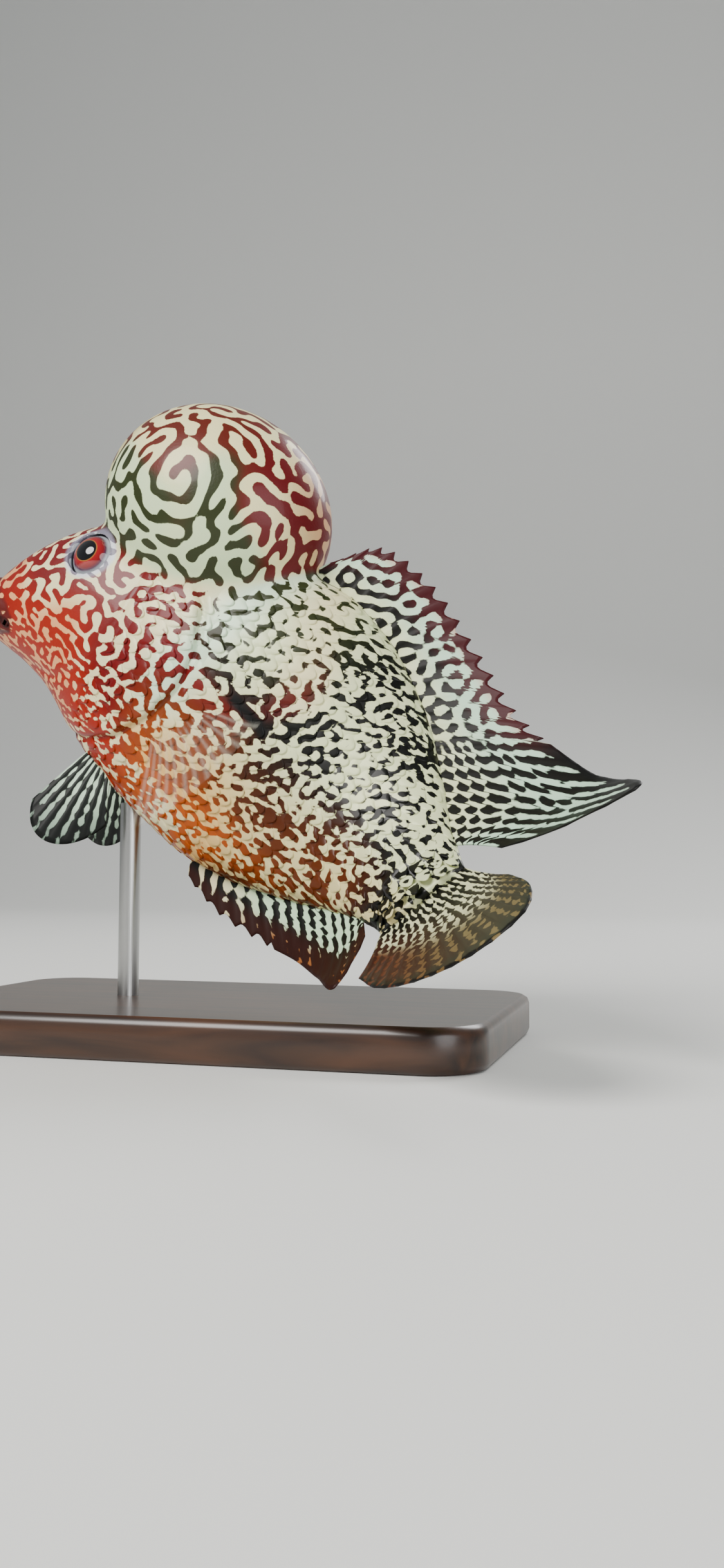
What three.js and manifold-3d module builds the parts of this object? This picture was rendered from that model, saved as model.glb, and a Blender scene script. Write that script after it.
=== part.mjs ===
// Flowerhorn cichlid, a young male with a large forehead hump, as a still life-size display model.
// It hovers nose up with its tail swept to its left, on a flat base with one rod. Millimetres, +Z up.
// The fish is first shaped straight: x runs from the lip to the tail, y to its right, z to its back.
// swim() then bends each piece along the spine, and the fish group tips the whole nose up.

import * as THREE from "three";
import { mergeVertices } from "three/addons/utils/BufferGeometryUtils.js";
import Module from "manifold-3d";

const wasm = await Module();
wasm.setup();

// Driving dimensions
const bodyLength = 95; // lip to the root of the tail fin
const clearance = 0.3; // gap between touching pieces
const noseUp = THREE.MathUtils.degToRad(35);
const tailSweep = THREE.MathUtils.degToRad(-60); // towards the left flank
const tailDroop = THREE.MathUtils.degToRad(3);
const tailTwist = THREE.MathUtils.degToRad(18);
const bendStart = 0.47; // share of the body length where the spine starts to bend
const baseLength = 86;
const baseDepth = 52;
const baseHeight = 6;
const baseCorner = 8;
const rodRadius = 1.6;
const socketDepth = 3.5;
const finClearance = 4; // height of the lowest fin tip above the base
const bevel = 0.8; // of the base's edges
const baseX = 38; // middle of the base, under the fish's weight
const rodX = 22;

// Body outline as shares of the body length: station, back, belly, half width
const outline = [
  [0.0, -0.045, -0.045, 0.0],
  [0.004, -0.004, -0.076, 0.03],
  [0.015, 0.036, -0.09, 0.047],
  [0.04, 0.09, -0.096, 0.062],
  [0.08, 0.145, -0.098, 0.077],
  [0.12, 0.18, -0.1, 0.088],
  [0.18, 0.208, -0.112, 0.1],
  [0.26, 0.234, -0.145, 0.112],
  [0.36, 0.266, -0.175, 0.119],
  [0.45, 0.29, -0.189, 0.118],
  [0.54, 0.294, -0.195, 0.11],
  [0.64, 0.266, -0.178, 0.095],
  [0.74, 0.212, -0.144, 0.074],
  [0.83, 0.15, -0.108, 0.053],
  [0.9, 0.108, -0.082, 0.038],
  [0.96, 0.088, -0.067, 0.028],
  [1.03, 0.084, -0.066, 0.019],
];

// The forehead hump is an egg set on the skull
const hump = {
  centre: new THREE.Vector3(0.26, 0, 0.285).multiplyScalar(bodyLength),
  radii: new THREE.Vector3(0.2, 0.145, 0.172).multiplyScalar(bodyLength),
};

// The gill cover stands a little proud of the flank behind it
const gillRise = 0.6;
const gillRiseFrom = 0.2;
const gillRiseTo = 0.36;

const eye = {
  centre: new THREE.Vector3(0.155, 0.051, 0.115).multiplyScalar(bodyLength),
  radius: 0.042 * bodyLength,
  rim: 0.55, // radius of the ring of skin round it
};
const nostril = {
  centre: new THREE.Vector3(0.088, 0.036, 0.085).multiplyScalar(bodyLength),
  radius: 0.75,
};

// Half the thickness of a fin's membrane, and how far each ray stands out of it
const finHalf = 0.3;
const rayRise = 0.18;

// Smooth curve through the rows of a table; a square root of the station keeps the snout round
function curveThrough(rows) {
  const stations = rows.map((row) => Math.sqrt(row[0]));
  const values = rows.flatMap((row) => row.slice(1));
  const cubic = new THREE.CubicInterpolant(stations, values, rows[0].length - 1);
  return (share) => cubic.evaluate(Math.sqrt(Math.max(share, 0)));
}
const outlineAt = curveThrough(outline);

const mix = THREE.MathUtils.lerp;
const smoothstep = THREE.MathUtils.smoothstep;

// Signed distance to the trunk and head, good near the surface
function fleshDistance(x, y, z) {
  if (x <= 0) return 1 - x;
  const [back, belly, half] = outlineAt(x / bodyLength);
  const middle = ((back + belly) / 2) * bodyLength;
  const high = Math.max(((back - belly) / 2) * bodyLength, 0.05);
  const wide = Math.max(half * bodyLength, 0.05);
  const b = y / wide;
  const c = (z - middle) / high;
  const reach = Math.hypot(b, c);
  const slope = Math.hypot(b / wide, c / high);
  return (reach * (reach - 1)) / Math.max(slope, 1e-6);
}

// Rays that cover the flesh: they fan out of one point in the head, then stand square to the body axis
const fanPoint = new THREE.Vector3(0.21, 0, 0.05).multiplyScalar(bodyLength);
const toMouth = new THREE.Vector3(-0.21, 0, -0.095).normalize();

function fleshRay(row, rows, angle) {
  const square = new THREE.Vector3(0, Math.sin(angle), Math.cos(angle));
  const [fanRows, trunkRows] = rows;
  if (row <= fanRows) {
    const share = (row / fanRows) ** 1.1;
    const turn = toMouth.angleTo(square);
    const direction = toMouth
      .clone()
      .multiplyScalar(Math.sin((1 - share) * turn))
      .addScaledVector(square, Math.sin(share * turn))
      .divideScalar(Math.sin(turn));
    return { from: fanPoint, direction };
  }
  const station = mix(fanPoint.x, bodyLength, (row - fanRows) / trunkRows);
  const share = station / bodyLength;
  const [back, belly] = outlineAt(share);
  const middle = ((back + belly) / 2) * bodyLength;
  const level = mix(fanPoint.z, middle, smoothstep(share, 0.21, 0.45));
  return { from: new THREE.Vector3(station, 0, level), direction: square };
}

// How far along a ray the flesh ends, found by halving
function fleshReach(from, direction, swell, rise) {
  let near = 0;
  let far = 0.5 * bodyLength;
  for (let step = 0; step < 22; step++) {
    const middle = (near + far) / 2;
    const p = from.clone().addScaledVector(direction, middle);
    const lift = rise * smoothstep(p.x / bodyLength, gillRiseFrom, gillRiseTo);
    if (fleshDistance(p.x, p.y, p.z) < swell + lift) near = middle;
    else far = middle;
  }
  return near;
}

// A closed solid from a grid of points: rows run along, columns go round, and both ends close on a point
function tubeSolid(rowCount, columnCount, pointAt, startPoint, endPoint) {
  const points = [startPoint];
  for (let row = 0; row < rowCount; row++)
    for (let column = 0; column < columnCount; column++) points.push(pointAt(row, column));
  points.push(endPoint);
  const at = (row, column) => 1 + row * columnCount + (column % columnCount);
  const faces = [];
  for (let column = 0; column < columnCount; column++) {
    faces.push([0, at(0, column), at(0, column + 1)]);
    for (let row = 0; row + 1 < rowCount; row++) {
      const a = at(row, column);
      const b = at(row + 1, column);
      const c = at(row + 1, column + 1);
      const d = at(row, column + 1);
      faces.push([a, b, c], [a, c, d]);
    }
    faces.push([at(rowCount - 1, column), points.length - 1, at(rowCount - 1, column + 1)]);
  }
  return solidOf(points, faces);
}

function solidOf(points, faces) {
  const vertProperties = new Float32Array(points.flatMap((p) => [p.x, p.y, p.z]));
  const triVerts = new Uint32Array(faces.flat());
  const made = new wasm.Manifold(new wasm.Mesh({ numProp: 3, vertProperties, triVerts }));
  if (made.volume() > 0) return made;
  const turned = new Uint32Array(faces.flatMap(([a, b, c]) => [a, c, b]));
  return new wasm.Manifold(new wasm.Mesh({ numProp: 3, vertProperties, triVerts: turned }));
}

function solidFromGeometry(geometry) {
  const bare = geometry.clone();
  bare.deleteAttribute("normal");
  bare.deleteAttribute("uv");
  const merged = mergeVertices(bare, 1e-4);
  return new wasm.Manifold(
    new wasm.Mesh({
      numProp: 3,
      vertProperties: new Float32Array(merged.attributes.position.array),
      triVerts: new Uint32Array(merged.index.array),
    }),
  );
}

// The largest closed piece of a cut solid
function largest(solid) {
  return solid.decompose().sort((a, b) => b.volume() - a.volume())[0];
}

// The whole flesh, swollen by a margin where it only serves to cut its neighbours
function fleshSolid(swell, rise) {
  const rowCount = skinRows[0] + skinRows[1];
  const pointAt = (row, column) => {
    const ray = fleshRay(row + 1, skinRows, (2 * Math.PI * column) / skinColumns);
    const reach = fleshReach(ray.from, ray.direction, swell, rise);
    return ray.from.clone().addScaledVector(ray.direction, reach);
  };
  const mouth = fanPoint
    .clone()
    .addScaledVector(toMouth, fleshReach(fanPoint, toMouth, swell, 0));
  const tail = new THREE.Vector3(bodyLength + swell, 0, 0.009 * bodyLength);
  return tubeSolid(rowCount, skinColumns, pointAt, mouth, tail);
}

// A wall of the clearance's thickness that stands on a line in the side view and cuts right through the fish
function cuttingWall(line) {
  const points = line.map(([x, z]) => new THREE.Vector2(x, z).multiplyScalar(bodyLength));
  const side = (index, way) => {
    const before = points[Math.max(index - 1, 0)];
    const after = points[Math.min(index + 1, points.length - 1)];
    const along = after.clone().sub(before).normalize();
    return points[index].clone().add(new THREE.Vector2(-along.y, along.x).multiplyScalar(way));
  };
  const half = clearance / 2;
  const left = points.map((_, index) => side(index, half));
  const right = points.map((_, index) => side(index, -half)).reverse();
  const geometry = new THREE.ExtrudeGeometry(new THREE.Shape([...left, ...right]), {
    depth: bodyLength,
    bevelEnabled: false,
  });
  geometry.translate(0, 0, -bodyLength / 2);
  geometry.rotateX(Math.PI / 2); // the drawing's y becomes the fish's z
  return solidFromGeometry(geometry);
}

// Bends a point of the straight fish along the swimming spine
const spineSteps = 240;
const spine = (() => {
  const samples = [];
  const place = new THREE.Vector3(bendStart * bodyLength, 0, 0);
  const step = 1 / spineSteps;
  for (let share = bendStart; share < 1.5; share += step) {
    const bend = ((share - bendStart) / (1 - bendStart)) ** 1.5;
    const droop = tailDroop * Math.max((share - 0.55) / 0.45, 0) ** 1.5;
    const twist = tailTwist * THREE.MathUtils.clamp((share - 0.55) / 0.45, 0, 1) ** 1.5;
    const sweep = tailSweep * Math.min(bend, 1.25);
    const along = new THREE.Vector3(
      Math.cos(droop) * Math.cos(sweep),
      Math.cos(droop) * Math.sin(sweep),
      -Math.sin(droop),
    );
    const up = new THREE.Vector3(
      Math.sin(droop) * Math.cos(sweep),
      Math.sin(droop) * Math.sin(sweep),
      Math.cos(droop),
    );
    const right = up.clone().cross(along);
    const back = up.clone().multiplyScalar(Math.cos(twist)).addScaledVector(right, Math.sin(twist));
    samples.push({ place: place.clone(), right: back.clone().cross(along), back });
    place.addScaledVector(along, step * bodyLength);
  }
  return samples;
})();

function swim(p) {
  const share = p.x / bodyLength;
  if (share <= bendStart) return p.clone();
  const position = Math.min((share - bendStart) * spineSteps, spine.length - 1.001);
  const index = Math.floor(position);
  const part = position - index;
  const [low, high] = [spine[index], spine[index + 1]];
  const place = low.place.clone().lerp(high.place, part);
  const right = low.right.clone().lerp(high.right, part).normalize();
  const back = low.back.clone().lerp(high.back, part).normalize();
  return place.addScaledVector(right, p.y).addScaledVector(back, p.z);
}

// A named mesh from a straight solid, bent into the swimming pose
function pieceMesh(name, solid, material, bent = true) {
  const mesh = solid.getMesh();
  const positions = new Float32Array(mesh.numVert * 3);
  const p = new THREE.Vector3();
  for (let index = 0; index < mesh.numVert; index++) {
    p.fromArray(mesh.vertProperties, index * mesh.numProp);
    (bent ? swim(p) : p).toArray(positions, index * 3);
  }
  const geometry = new THREE.BufferGeometry();
  geometry.setAttribute("position", new THREE.BufferAttribute(positions, 3));
  geometry.setIndex(new THREE.BufferAttribute(new Uint32Array(mesh.triVerts), 1));
  geometry.computeVertexNormals();
  const made = new THREE.Mesh(geometry, material);
  made.name = name;
  return made;
}

const finish = (color, roughness, metalness = 0) =>
  new THREE.MeshStandardMaterial({ color, roughness, metalness });
const materials = {
  head: finish("#c8503a", 0.4),
  hump: finish("#b9836a", 0.4),
  trunk: finish("#b7b08c", 0.42),
  fin: finish("#6f6a58", 0.5),
  eye: finish("#b3121c", 0.1),
  base: finish("#3b2417", 0.45),
  rod: finish("#b9bcbf", 0.25, 1),
};

const skinRows = [16, 24]; // over the head, then over the trunk
const skinColumns = 34;
const fish = new THREE.Group();
const trunkFlesh = fleshSolid(0, 0);
const headFlesh = fleshSolid(0, gillRise);
const fleshWithGap = fleshSolid(clearance, gillRise);

// Thin cuts that part the head from the trunk and the trunk into lengths
const gillLine = [
  [0.4, 0.6],
  [0.4, 0.2],
  [0.41, 0.12],
  [0.412, 0.04],
  [0.395, -0.03],
  [0.355, -0.09],
  [0.3, -0.125],
  [0.25, -0.16],
  [0.22, -0.4],
];
const gillWall = cuttingWall(gillLine);
const waistWall = cuttingWall([
  [0.64, -0.5],
  [0.64, 0.5],
]);
const stalkWall = cuttingWall([
  [0.87, -0.5],
  [0.87, 0.5],
]);

// The piece of a parted solid that holds a given point of the side view
function pieceAround(solid, x, z) {
  const cube = new THREE.BoxGeometry(1, 1, 1).translate(x * bodyLength, 0, z * bodyLength);
  const probe = solidFromGeometry(cube);
  return solid
    .decompose()
    .filter((piece) => piece.intersect(probe).volume() > 0.2)
    .sort((a, b) => b.volume() - a.volume())[0];
}
const partedTrunk = trunkFlesh.subtract(gillWall).subtract(waistWall).subtract(stalkWall);

// Lips: a thick band round the front of each jaw, fused to the head
function lipSolid(lip) {
  const points = [-1, -0.66, -0.28, 0.28, 0.66, 1].map((way) => {
    const back = Math.abs(way) ** 2.4;
    return new THREE.Vector3(
      (lip.front + lip.run * back) * bodyLength,
      lip.half * way * bodyLength,
      (lip.height - lip.fall * back) * bodyLength,
    );
  });
  const path = new THREE.CatmullRomCurve3(points);
  const steps = 14;
  const sides = 8;
  const up = new THREE.Vector3(0, 0, 1);
  const pointAt = (row, column) => {
    const share = row / steps;
    const thick = lip.thick * bodyLength * Math.sqrt(Math.max(1 - (2 * share - 1) ** 6, 0.08));
    const out = path.getTangent(share).cross(up).normalize();
    const angle = (2 * Math.PI * column) / sides;
    return path
      .getPoint(share)
      .addScaledVector(out, thick * Math.cos(angle))
      .addScaledVector(up, thick * Math.sin(angle));
  };
  return tubeSolid(steps + 1, sides, pointAt, path.getPoint(0), path.getPoint(1));
}
const upperLip = { front: 0.0, run: 0.078, half: 0.056, height: -0.02, fall: 0.026, thick: 0.0215 };
const lowerLip = { front: 0.006, run: 0.072, half: 0.053, height: -0.068, fall: -0.006, thick: 0.0205 };

function ball(centre, way, radius) {
  const geometry = new THREE.SphereGeometry(radius, 18, 10);
  geometry.rotateX(Math.PI / 2);
  geometry.translate(centre.x, way * centre.y, centre.z);
  return solidFromGeometry(geometry);
}

// A raised ring of skin round the eye, facing out and a little forward
const eyeFacing = new THREE.Vector3(-0.3, 1, 0.18).normalize();
function eyeRim(way) {
  const facing = new THREE.Vector3(eyeFacing.x, way * eyeFacing.y, eyeFacing.z);
  const geometry = new THREE.TorusGeometry(eye.radius * 0.93, eye.rim, 6, 20);
  const turn = new THREE.Quaternion().setFromUnitVectors(new THREE.Vector3(0, 0, 1), facing);
  geometry.applyQuaternion(turn);
  const place = new THREE.Vector3(eye.centre.x, way * eye.centre.y, eye.centre.z);
  place.addScaledVector(facing, eye.radius * 0.48);
  geometry.translate(place.x, place.y, place.z);
  return solidFromGeometry(geometry);
}

// The gill cover's plate, cut out of each cheek as a prism
const gillPlate = [
  [0.3, 0.115],
  [0.265, 0.07],
  [0.25, 0.01],
  [0.262, -0.05],
  [0.3, -0.095],
  [0.34, -0.085],
  [0.378, -0.04],
  [0.396, 0.03],
  [0.392, 0.09],
  [0.36, 0.12],
];
const cheekDepth = 6.2; // distance of the plate's inner face from the middle of the head
const prismDepth = 14; // long enough to pass out of the cheek
function gillPrism(way, margin) {
  const middle = new THREE.Vector2(0.325, 0.015).multiplyScalar(bodyLength);
  const points = gillPlate.map(([x, z]) => {
    const corner = new THREE.Vector2(x, z).multiplyScalar(bodyLength);
    const out = corner.clone().sub(middle).normalize();
    return corner.addScaledVector(out, margin);
  });
  const curve = new THREE.SplineCurve([...points, points[0]]);
  const shape = new THREE.Shape(curve.getPoints(30).slice(0, -1));
  const geometry = new THREE.ExtrudeGeometry(shape, { depth: prismDepth, bevelEnabled: false });
  geometry.rotateX(Math.PI / 2);
  // After the turn the prism reaches from y = 0 towards the left flank
  geometry.translate(0, way < 0 ? margin - cheekDepth : cheekDepth - margin + prismDepth, 0);
  return solidFromGeometry(geometry);
}

let head = pieceAround(headFlesh.subtract(gillWall), 0.2, 0);
for (const lip of [upperLip, lowerLip]) head = head.add(lipSolid(lip));
for (const way of [-1, 1]) {
  head = head.add(eyeRim(way)).subtract(ball(eye.centre, way, eye.radius + clearance));
  head = head.subtract(ball(nostril.centre, way, nostril.radius));
  const name = way < 0 ? "gill_cover_left" : "gill_cover_right";
  fish.add(pieceMesh(name, largest(head.intersect(gillPrism(way, 0))), materials.head));
  head = largest(head.subtract(gillPrism(way, clearance)));
}
fish.add(pieceMesh("head", head, materials.head));
function humpEgg(margin) {
  const geometry = new THREE.SphereGeometry(1, 34, 20);
  geometry.rotateX(Math.PI / 2);
  geometry.scale(hump.radii.x + margin, hump.radii.y + margin, hump.radii.z + margin);
  geometry.translate(hump.centre.x, 0, hump.centre.z);
  return solidFromGeometry(geometry);
}
let humpSolid = humpEgg(0).subtract(fleshWithGap);
const rimReach = eye.radius + 2.6 * eye.rim; // keeps the hump clear of the ring round each eye
for (const way of [-1, 1]) humpSolid = humpSolid.subtract(ball(eye.centre, way, rimReach));
fish.add(pieceMesh("nuchal_hump", largest(humpSolid), materials.hump));
fish.add(pieceMesh("torso_front", pieceAround(partedTrunk, 0.52, 0), materials.trunk));
fish.add(pieceMesh("torso_rear", pieceAround(partedTrunk, 0.75, 0), materials.trunk));
fish.add(pieceMesh("tail_stalk", pieceAround(partedTrunk, 0.93, 0.01), materials.trunk));
fish.add(pieceMesh("eye_left", ball(eye.centre, -1, eye.radius), materials.eye));
fish.add(pieceMesh("eye_right", ball(eye.centre, 1, eye.radius), materials.eye));

// A fin: a thin sheet with a ridge on each ray. place(u, v) gives a point of its middle surface, with u
// across the rays and v from root to edge. Both faces carry the same triangles, and the edge dips
// between spines.
function finSolid(fin) {
  const columns = 2 * fin.rays + 1;
  const rows = fin.rows ?? 6;
  const nudge = 0.01;
  const at = (side, column, row) => (side * columns + column) * (rows + 1) + row;
  const points = [];
  for (const side of [0, 1])
    for (let column = 0; column < columns; column++)
      for (let row = 0; row <= rows; row++) {
        const u = column / (columns - 1);
        const onRay = column % 2 === 1;
        const notched = !onRay && column < 2 * (fin.spines ?? 0);
        const v = (row / rows) * (notched ? 0.9 : 1);
        const ridge = onRay ? fin.ridge : 0;
        const thick = (fin.thick + ridge) * (1 - 0.45 * v * v);
        const p = fin.place(u, v);
        const across = fin.place(Math.min(u + nudge, 1), v).sub(fin.place(Math.max(u - nudge, 0), v));
        const along = fin.place(u, Math.min(v + nudge, 1)).sub(fin.place(u, Math.max(v - nudge, 0)));
        const normal = across.cross(along).normalize();
        points.push(p.addScaledVector(normal, (side ? 1 : -1) * thick));
      }
  const faces = [];
  for (let column = 0; column + 1 < columns; column++)
    for (let row = 0; row < rows; row++)
      for (const side of [0, 1]) {
        const a = at(side, column, row);
        const b = at(side, column + 1, row);
        const c = at(side, column + 1, row + 1);
        const d = at(side, column, row + 1);
        if (side) faces.push([a, b, c], [a, c, d]);
        else faces.push([a, c, b], [a, d, c]);
      }
  const edge = [];
  for (let column = 0; column < columns - 1; column++) edge.push([column, 0]);
  for (let row = 0; row < rows; row++) edge.push([columns - 1, row]);
  for (let column = columns - 1; column > 0; column--) edge.push([column, rows]);
  for (let row = rows; row > 0; row--) edge.push([0, row]);
  edge.forEach(([column, row], index) => {
    const [nextColumn, nextRow] = edge[(index + 1) % edge.length];
    const a = at(0, column, row);
    const b = at(0, nextColumn, nextRow);
    faces.push([a, b, at(1, nextColumn, nextRow)], [a, at(1, nextColumn, nextRow), at(1, column, row)]);
  });
  return solidOf(points, faces);
}

// A point of a fin in the fish's middle plane, between its root line and its edge line
function middleFin(rootLine, edgeLine, lean) {
  const curve = (line) =>
    new THREE.CatmullRomCurve3(line.map(([x, z]) => new THREE.Vector3(x, 0, z).multiplyScalar(bodyLength)));
  const [root, edge] = [curve(rootLine), curve(edgeLine)];
  return (u, v) => {
    const p = root.getPoint(u).lerp(edge.getPoint(u), v);
    p.x += lean * bodyLength * v * (1 - v);
    return p;
  };
}

const fins = {
  dorsal_fin: {
    rays: 26,
    spines: 17,
    place: middleFin(
      [
        [0.445, 0.26],
        [0.54, 0.265],
        [0.64, 0.24],
        [0.74, 0.188],
        [0.83, 0.128],
        [0.918, 0.082],
      ],
      [
        [0.475, 0.33],
        [0.53, 0.387],
        [0.63, 0.38],
        [0.74, 0.336],
        [0.85, 0.295],
        [0.97, 0.295],
        [1.16, 0.328],
        [1.0, 0.14],
      ],
      -0.03,
    ),
  },
  anal_fin: {
    rays: 15,
    spines: 6,
    place: middleFin(
      [
        [0.55, -0.168],
        [0.63, -0.155],
        [0.72, -0.128],
        [0.81, -0.095],
        [0.885, -0.065],
      ],
      [
        [0.565, -0.222],
        [0.65, -0.232],
        [0.75, -0.216],
        [0.85, -0.192],
        [0.95, -0.175],
        [1.04, -0.152],
        [0.95, -0.085],
      ],
      -0.03,
    ),
  },
  caudal_fin: {
    rays: 16,
    rows: 8,
    place: middleFin(
      [
        [0.975, 0.08],
        [0.982, 0.045],
        [0.985, 0.01],
        [0.982, -0.025],
        [0.975, -0.06],
      ],
      [
        [1.12, 0.136],
        [1.245, 0.164],
        [1.335, 0.152],
        [1.352, 0.082],
        [1.3, 0.002],
        [1.2, -0.068],
        [1.08, -0.11],
      ],
      0,
    ),
  },
};
const humpGap = clearance + 0.1; // a little more, because the bend brings the back nearer
for (const [name, fin] of Object.entries(fins)) {
  const solid = finSolid({ thick: finHalf, ridge: rayRise, ...fin })
    .subtract(fleshWithGap)
    .subtract(humpEgg(humpGap));
  fish.add(pieceMesh(name, largest(solid), materials.fin));
}

// A paired fin fans out of a short root on the flank
function pairedFin(fin, way) {
  const root = new THREE.Vector3(...fin.root).multiplyScalar(bodyLength);
  const rootRun = new THREE.Vector3(...fin.rootRun).multiplyScalar(bodyLength);
  const first = new THREE.Vector3(...fin.firstRay).multiplyScalar(bodyLength);
  const last = new THREE.Vector3(...fin.lastRay).multiplyScalar(bodyLength);
  const place = (u, v) => {
    const reach = 1 + fin.round * Math.sin(Math.PI * u);
    const p = root.clone().addScaledVector(rootRun, u);
    p.addScaledVector(first, (1 - u) * v * reach).addScaledVector(last, u * v * reach);
    p.y += fin.cup * bodyLength * v * v;
    p.y *= way;
    return p;
  };
  return finSolid({ rays: fin.rays, rows: fin.rows, thick: finHalf, ridge: rayRise, place });
}
const pectoralFin = {
  rays: 12,
  rows: 6,
  root: [0.418, 0.085, 0.02],
  rootRun: [-0.018, 0.0, -0.052],
  firstRay: [0.2, 0.085, 0.05],
  lastRay: [0.11, 0.085, -0.14],
  round: 0.18,
  cup: 0.02,
};
const pelvicFin = {
  rays: 6,
  rows: 6,
  root: [0.315, 0.03, -0.13],
  rootRun: [0.04, 0, -0.008],
  firstRay: [-0.02, 0.055, -0.125],
  lastRay: [0.06, 0.03, -0.085],
  round: 0.5,
  cup: -0.01,
};
for (const way of [-1, 1]) {
  const side = way < 0 ? "left" : "right";
  for (const [name, fin] of [["pectoral_fin", pectoralFin], ["pelvic_fin", pelvicFin]]) {
    const solid = pairedFin(fin, way).subtract(fleshWithGap);
    fish.add(pieceMesh(`${name}_${side}`, largest(solid), materials.fin));
  }
}

// Nose up, then lifted so that the lowest fin tip just clears the base
fish.rotation.y = noseUp;
fish.updateMatrixWorld(true);
const bounds = new THREE.Box3().setFromObject(fish, true);
const lift = baseHeight + finClearance - bounds.min.z;
const part = new THREE.Group();
fish.position.z = lift;
part.add(fish);

// Display base with rounded corners, and a rod whose top stops just under the belly
const half = { x: baseLength / 2, y: baseDepth / 2 };
const plan = new THREE.Shape();
plan.moveTo(-half.x + baseCorner, -half.y);
plan.lineTo(half.x - baseCorner, -half.y);
plan.absarc(half.x - baseCorner, -half.y + baseCorner, baseCorner, -Math.PI / 2, 0, false);
plan.absarc(half.x - baseCorner, half.y - baseCorner, baseCorner, 0, Math.PI / 2, false);
plan.absarc(-half.x + baseCorner, half.y - baseCorner, baseCorner, Math.PI / 2, Math.PI, false);
plan.absarc(-half.x + baseCorner, -half.y + baseCorner, baseCorner, Math.PI, 1.5 * Math.PI, false);
const slab = new THREE.ExtrudeGeometry(plan, {
  depth: baseHeight - 2 * bevel,
  bevelThickness: bevel,
  bevelSize: bevel,
  bevelOffset: -bevel,
  bevelSegments: 2,
  curveSegments: 6,
});
slab.translate(baseX, 0, bevel);
function rod(radius, bottom, top) {
  const geometry = new THREE.CylinderGeometry(radius, radius, top - bottom, 24);
  geometry.rotateX(Math.PI / 2);
  geometry.translate(rodX, 0, (top + bottom) / 2);
  return solidFromGeometry(geometry);
}
const socketFloor = baseHeight - socketDepth;
const base = solidFromGeometry(slab).subtract(rod(rodRadius + clearance, socketFloor, baseHeight + 1));
const fleshShape = pieceMesh("flesh", fleshWithGap, materials.trunk);
fleshShape.geometry.rotateY(noseUp).translate(0, 0, lift);
const rodSolid = rod(rodRadius, socketFloor + clearance, lift).subtract(
  solidFromGeometry(fleshShape.geometry),
);
const rodPieces = rodSolid
  .decompose()
  .sort((a, b) => a.boundingBox().min[2] - b.boundingBox().min[2]);
part.add(pieceMesh("stand_base", base, materials.base, false));
part.add(pieceMesh("stand_rod", rodPieces[0], materials.rod, false));

// The origin is at floor level under the middle of the overall box
const overall = new THREE.Box3().setFromObject(part, true);
const middleOfBox = overall.getCenter(new THREE.Vector3());
part.position.set(-middleOfBox.x, -middleOfBox.y, 0);

export default part;
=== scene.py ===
"""Looks of a young male flowerhorn cichlid, a still life-size model on a plain display stand."""

import bpy
import numpy as np
from mathutils import Matrix, Vector, kdtree


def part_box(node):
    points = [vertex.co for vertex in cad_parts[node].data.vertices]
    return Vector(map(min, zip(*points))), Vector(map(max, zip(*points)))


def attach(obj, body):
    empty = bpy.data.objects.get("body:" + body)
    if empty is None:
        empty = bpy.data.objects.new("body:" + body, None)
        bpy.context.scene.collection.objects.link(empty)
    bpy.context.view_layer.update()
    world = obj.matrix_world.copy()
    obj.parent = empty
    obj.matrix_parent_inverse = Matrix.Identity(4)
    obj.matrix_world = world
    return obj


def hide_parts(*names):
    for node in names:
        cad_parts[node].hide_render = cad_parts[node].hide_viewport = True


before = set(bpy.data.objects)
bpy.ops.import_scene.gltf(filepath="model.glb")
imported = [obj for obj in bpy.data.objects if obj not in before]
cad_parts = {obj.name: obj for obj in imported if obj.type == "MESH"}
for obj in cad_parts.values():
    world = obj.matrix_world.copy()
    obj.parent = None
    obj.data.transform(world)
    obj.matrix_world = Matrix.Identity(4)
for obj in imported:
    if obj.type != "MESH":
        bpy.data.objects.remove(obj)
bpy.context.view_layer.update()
draws = np.random.default_rng(20)

# Straight fish
# The body is drawn straight: x runs from the lip to the tail, y to the right flank and z to the back, in
# millimetres. Soft tissue over a deep, thin skeleton, with a fatty hump on the forehead.

LENGTH = 95.0
STATION, BACK, BELLY, HALF = np.array(
    [
        (0.0, -0.045, -0.045, 0.0),
        (0.004, -0.004, -0.076, 0.03),
        (0.015, 0.036, -0.09, 0.047),
        (0.04, 0.09, -0.096, 0.062),
        (0.08, 0.145, -0.098, 0.077),
        (0.12, 0.18, -0.1, 0.088),
        (0.18, 0.208, -0.112, 0.1),
        (0.26, 0.234, -0.145, 0.112),
        (0.36, 0.266, -0.175, 0.119),
        (0.45, 0.29, -0.189, 0.118),
        (0.54, 0.294, -0.195, 0.11),
        (0.64, 0.266, -0.178, 0.095),
        (0.74, 0.212, -0.144, 0.074),
        (0.83, 0.15, -0.108, 0.053),
        (0.9, 0.108, -0.082, 0.038),
        (0.96, 0.088, -0.067, 0.028),
        (1.03, 0.084, -0.066, 0.019),
    ]
).T
HUMP_CENTRE = np.array((0.26, 0, 0.285)) * LENGTH
HUMP_RADII = np.array((0.2, 0.145, 0.172)) * LENGTH
EYE_CENTRE = np.array((0.155, 0.051, 0.115)) * LENGTH
EYE_RADIUS = 0.042 * LENGTH
EYE_WAY = np.array((-0.3, 1, 0.18))  # where the right eye looks
SOCKET_WAY = EYE_WAY / 1.06  # the same at about unit length
SKIN_DEPTH = 0.25  # the skin lies this far inside the solids, under the scales
COVER_LIFT = 0.55  # how far the gill cover's edge stands out
GILL_GROOVE = 0.45  # depth of the slit behind it
CHEEK_GROOVE = 0.22  # depth of the line round the cheek
NOSTRIL_RADIUS = 0.55
LIP_POINTS = 9
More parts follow.
